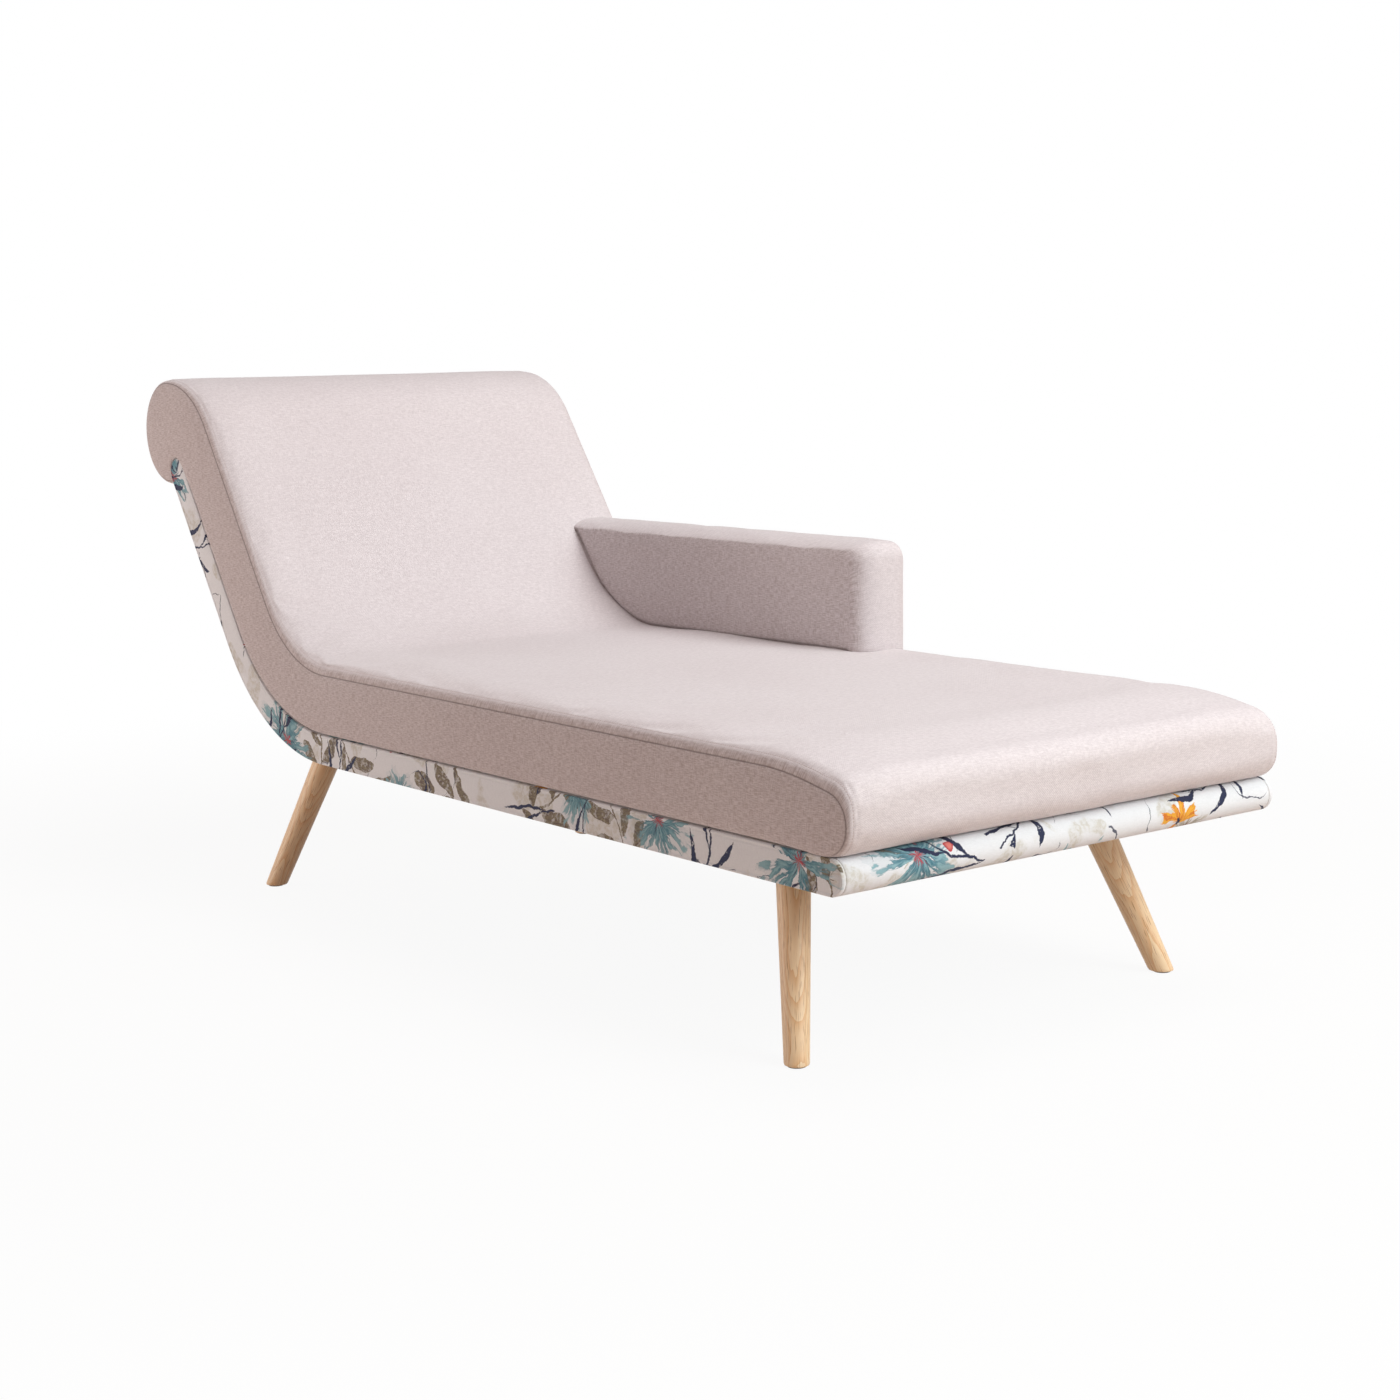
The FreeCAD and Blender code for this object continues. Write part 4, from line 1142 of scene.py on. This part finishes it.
def stitchTree(name):
    # small rounded stitches set along a line of points
    tree = bpy.data.node_groups.new(name, "GeometryNodeTree")
    face = tree.interface
    face.new_socket("Geometry", in_out="INPUT", socket_type="NodeSocketGeometry")
    sockets = {}
    for label in (*stitches, "Finish"):
        kind = "NodeSocketMaterial" if label == "Finish" else "NodeSocketFloat"
        sockets[label] = face.new_socket(label, in_out="INPUT", socket_type=kind).identifier
    face.new_socket("Geometry", in_out="OUTPUT", socket_type="NodeSocketGeometry")
    make = tree.nodes.new
    enter, leave = make("NodeGroupInput"), make("NodeGroupOutput")
    curve = make("GeometryNodeMeshToCurve")
    points = make("GeometryNodeCurveToPoints")
    points.mode = "LENGTH"
    ball = make("GeometryNodeMeshUVSphere")
    for label, value in {"Segments": 6, "Rings": 4, "Radius": 0.5}.items():
        ball.inputs[label].default_value = value
    size = make("ShaderNodeCombineXYZ")
    put = make("GeometryNodeInstanceOnPoints")
    real = make("GeometryNodeRealizeInstances")
    paint = make("GeometryNodeSetMaterial")
    links = (
        (enter, "Geometry", curve, 0), (curve, 0, points, 0), (enter, "Pitch", points, "Length"),
        (enter, "Thickness", size, 0), (enter, "Thickness", size, 1), (enter, "Length", size, 2),
        (points, "Points", put, "Points"), (ball, 0, put, "Instance"), (points, "Rotation", put, "Rotation"),
        (size, 0, put, "Scale"), (put, 0, real, 0), (real, 0, paint, 0), (enter, "Finish", paint, "Material"),
        (paint, 0, leave, 0),
    )
    for source, output, target, place in links:
        tree.links.new(source.outputs[output], target.inputs[place])
    return tree, sockets


def sewStitches(name, lines, finish):
    verts, edges = [], []
    for line in lines:
        base = len(verts)
        verts.extend(tuple(place) for place in line)
        edges.extend((base + i, base + i + 1) for i in range(len(line) - 1))
    piece = addObject(name, newMesh(name + "Line", verts, edges=edges))
    tree, sockets = stitchTree(name + "Tree")
    modifier = piece.modifiers.new("Stitches", "NODES")
    modifier.node_group = tree
    for label, value in {**stitches, "Finish": finish}.items():
        modifier[sockets[label]] = value
    applyModifiers(piece)
    piece.data.polygons.foreach_set("use_smooth", [True] * len(piece.data.polygons))
    return dress(piece, "plain_cloth", finish=finish)


padThread = {
    "tones": (tone(176, 154, 150), tone(214, 200, 196)), "scale": 1800.0, "depth": 0.0001,
    "detail": (1.0, 0.5), "band": (0.3, 0.7), "roughness": 0.6, "sheen": 0.2,
}


def seamLine(row):
    # a line on the pad's top panel, lifted off it a little
    line = padTop[row][:, [0, 2]]
    return stationed(line + squareTo(line) * pad["stitchLift"], padTop[row][:, 1])


stitchLines = [seamLine(pad["stitchRow"]), seamLine(-1 - pad["stitchRow"])]
sewStitches("padTopstitch", stitchLines, makeSpeckled("padThread", **padThread))
print("divan: stitches sewn")


studio = {
    "floorReach": 30, "floorPaint": tone(225, 222, 218), "floorBounce": tone(208, 188, 175),
    "shadowFrom": 1.1, "shadowTo": 2.6, "shadowWhite": 0.93,
    "fillColour": (1.0, 0.81, 0.77, 1.0), "fillStrength": 0.270,
}
lamps = {
    "keyLight": {"place": (4.4, 1.4, 3.4), "aim": (0.0, 0.0, 0.4), "size": 2.8, "power": 157.0,
                 "colour": (0.91, 1.0, 1.0)},
    "footLight": {"place": (4.6, 0.6, 1.7), "aim": (0.5, 0.0, 0.4), "size": 2.0, "power": 35.0,
                  "colour": (0.90, 0.98, 1.0)},
    "overheadLight": {"place": (1.2, 0.6, 4.2), "aim": (0.5, 0.0, 0.4), "size": 2.8, "power": 82.0,
                      "colour": (1.0, 0.96, 0.96)},
    "headFill": {"place": (-2.4, -2.4, 0.9), "aim": (-0.5, -0.1, 0.35), "size": 1.6, "power": 14.0,
                 "colour": (1.0, 0.93, 0.88)},
    "floorFill": {"place": (-1.6, -2.2, 0.22), "aim": (-0.65, -0.2, 0.10), "size": 0.8, "power": 12.0,
                  "colour": (1.0, 0.94, 0.90)},
}


def buildFloor():
    # a pale floor that shows white, with the divan's soft shadow left on it
    reach = studio["floorReach"]
    corners = [(-reach, -reach, 0), (reach, -reach, 0), (reach, reach, 0), (-reach, reach, 0)]
    mesh = newMesh("floor", corners, [(0, 1, 2, 3)])
    floor = addObject("floor", mesh)
    wire = newMaterial("floorPaint")
    diffuse = wire.node("ShaderNodeLightPath").outputs["Is Diffuse Ray"]
    paint = wire.mix(diffuse, studio["floorPaint"], studio["floorBounce"])
    wire.finish(paint, roughness=0.9, specular=0.1)
    white = wire.node("ShaderNodeEmission", {"Strength": 1.0})
    distance = wire.node("ShaderNodeVectorMath", (wire.objectPlace(),), operation="LENGTH").outputs["Value"]
    away = wire.stepped(distance, studio["shadowFrom"], studio["shadowTo"], studio["shadowWhite"], 1.0)
    share = wire.times(wire.seenRays(), away)
    shader = wire.tree.nodes["Principled BSDF"].outputs[0]
    mixed = wire.node("ShaderNodeMixShader", (share, shader, white.outputs[0]))
    wire.put(wire.tree.nodes["Material Output"].inputs["Surface"], mixed.outputs[0])
    mesh.materials.append(wire.owner)


def buildSky():
    # white to the camera, a gentle warm fill for the rest
    bpy.context.scene.world = bpy.data.worlds.new("studio")
    wire = Wiring(bpy.context.scene.world)
    fill = wire.tree.nodes["Background"]
    wire.fill(fill, {"Color": studio["fillColour"], "Strength": studio["fillStrength"]})
    clear = wire.node("ShaderNodeBackground", {"Color": (1, 1, 1, 1)})
    swap = wire.node("ShaderNodeMixShader", (wire.seenRays(), fill.outputs[0], clear.outputs[0]))
    wire.put(wire.tree.nodes["World Output"].inputs[0], swap.outputs[0])


def addLamp(name, place, aim, size, power, colour):
    data = bpy.data.lights.new(name, "AREA")
    data.shape = "SQUARE"
    data.size = size
    data.energy = power
    data.color = colour
    lamp = addObject(name, data)
    lamp.location = place
    lamp.rotation_euler = (Vector(aim) - Vector(place)).to_track_quat("-Z", "Y").to_euler()


buildFloor()
buildSky()
for name, settings in lamps.items():
    addLamp(name, **settings)

view = {"place": (2.9923, -2.3059, 0.9092), "azimuth": 51.004, "elevation": 8.516, "roll": -0.738,
        "focalPixels": 2459.14, "framePixels": 1400.0, "sensor": 36.0, "farthest": 100}


def buildCamera():
    azimuth, elevation, roll = (math.radians(view[k]) for k in ("azimuth", "elevation", "roll"))
    level = math.cos(elevation)
    back = Vector((math.sin(azimuth) * level, -math.cos(azimuth) * level, math.sin(elevation)))
    right = (-back).cross(Vector((0, 0, 1))).normalized()
    up = right.cross(-back)
    across = right * math.cos(roll) + up * math.sin(roll)
    above = up * math.cos(roll) - right * math.sin(roll)
    turn = Matrix((across, above, back)).transposed().to_4x4()
    data = bpy.data.cameras.new("camera")
    data.sensor_width = view["sensor"]
    data.lens = view["focalPixels"] / view["framePixels"] * view["sensor"]
    data.clip_end = view["farthest"]
    camera = addObject("camera", data)
    camera.matrix_world = Matrix.Translation(Vector(view["place"])) @ turn
    bpy.context.scene.camera = camera


buildCamera()
bpy.context.scene.view_settings.view_transform = "Standard"
print("divan: studio set")
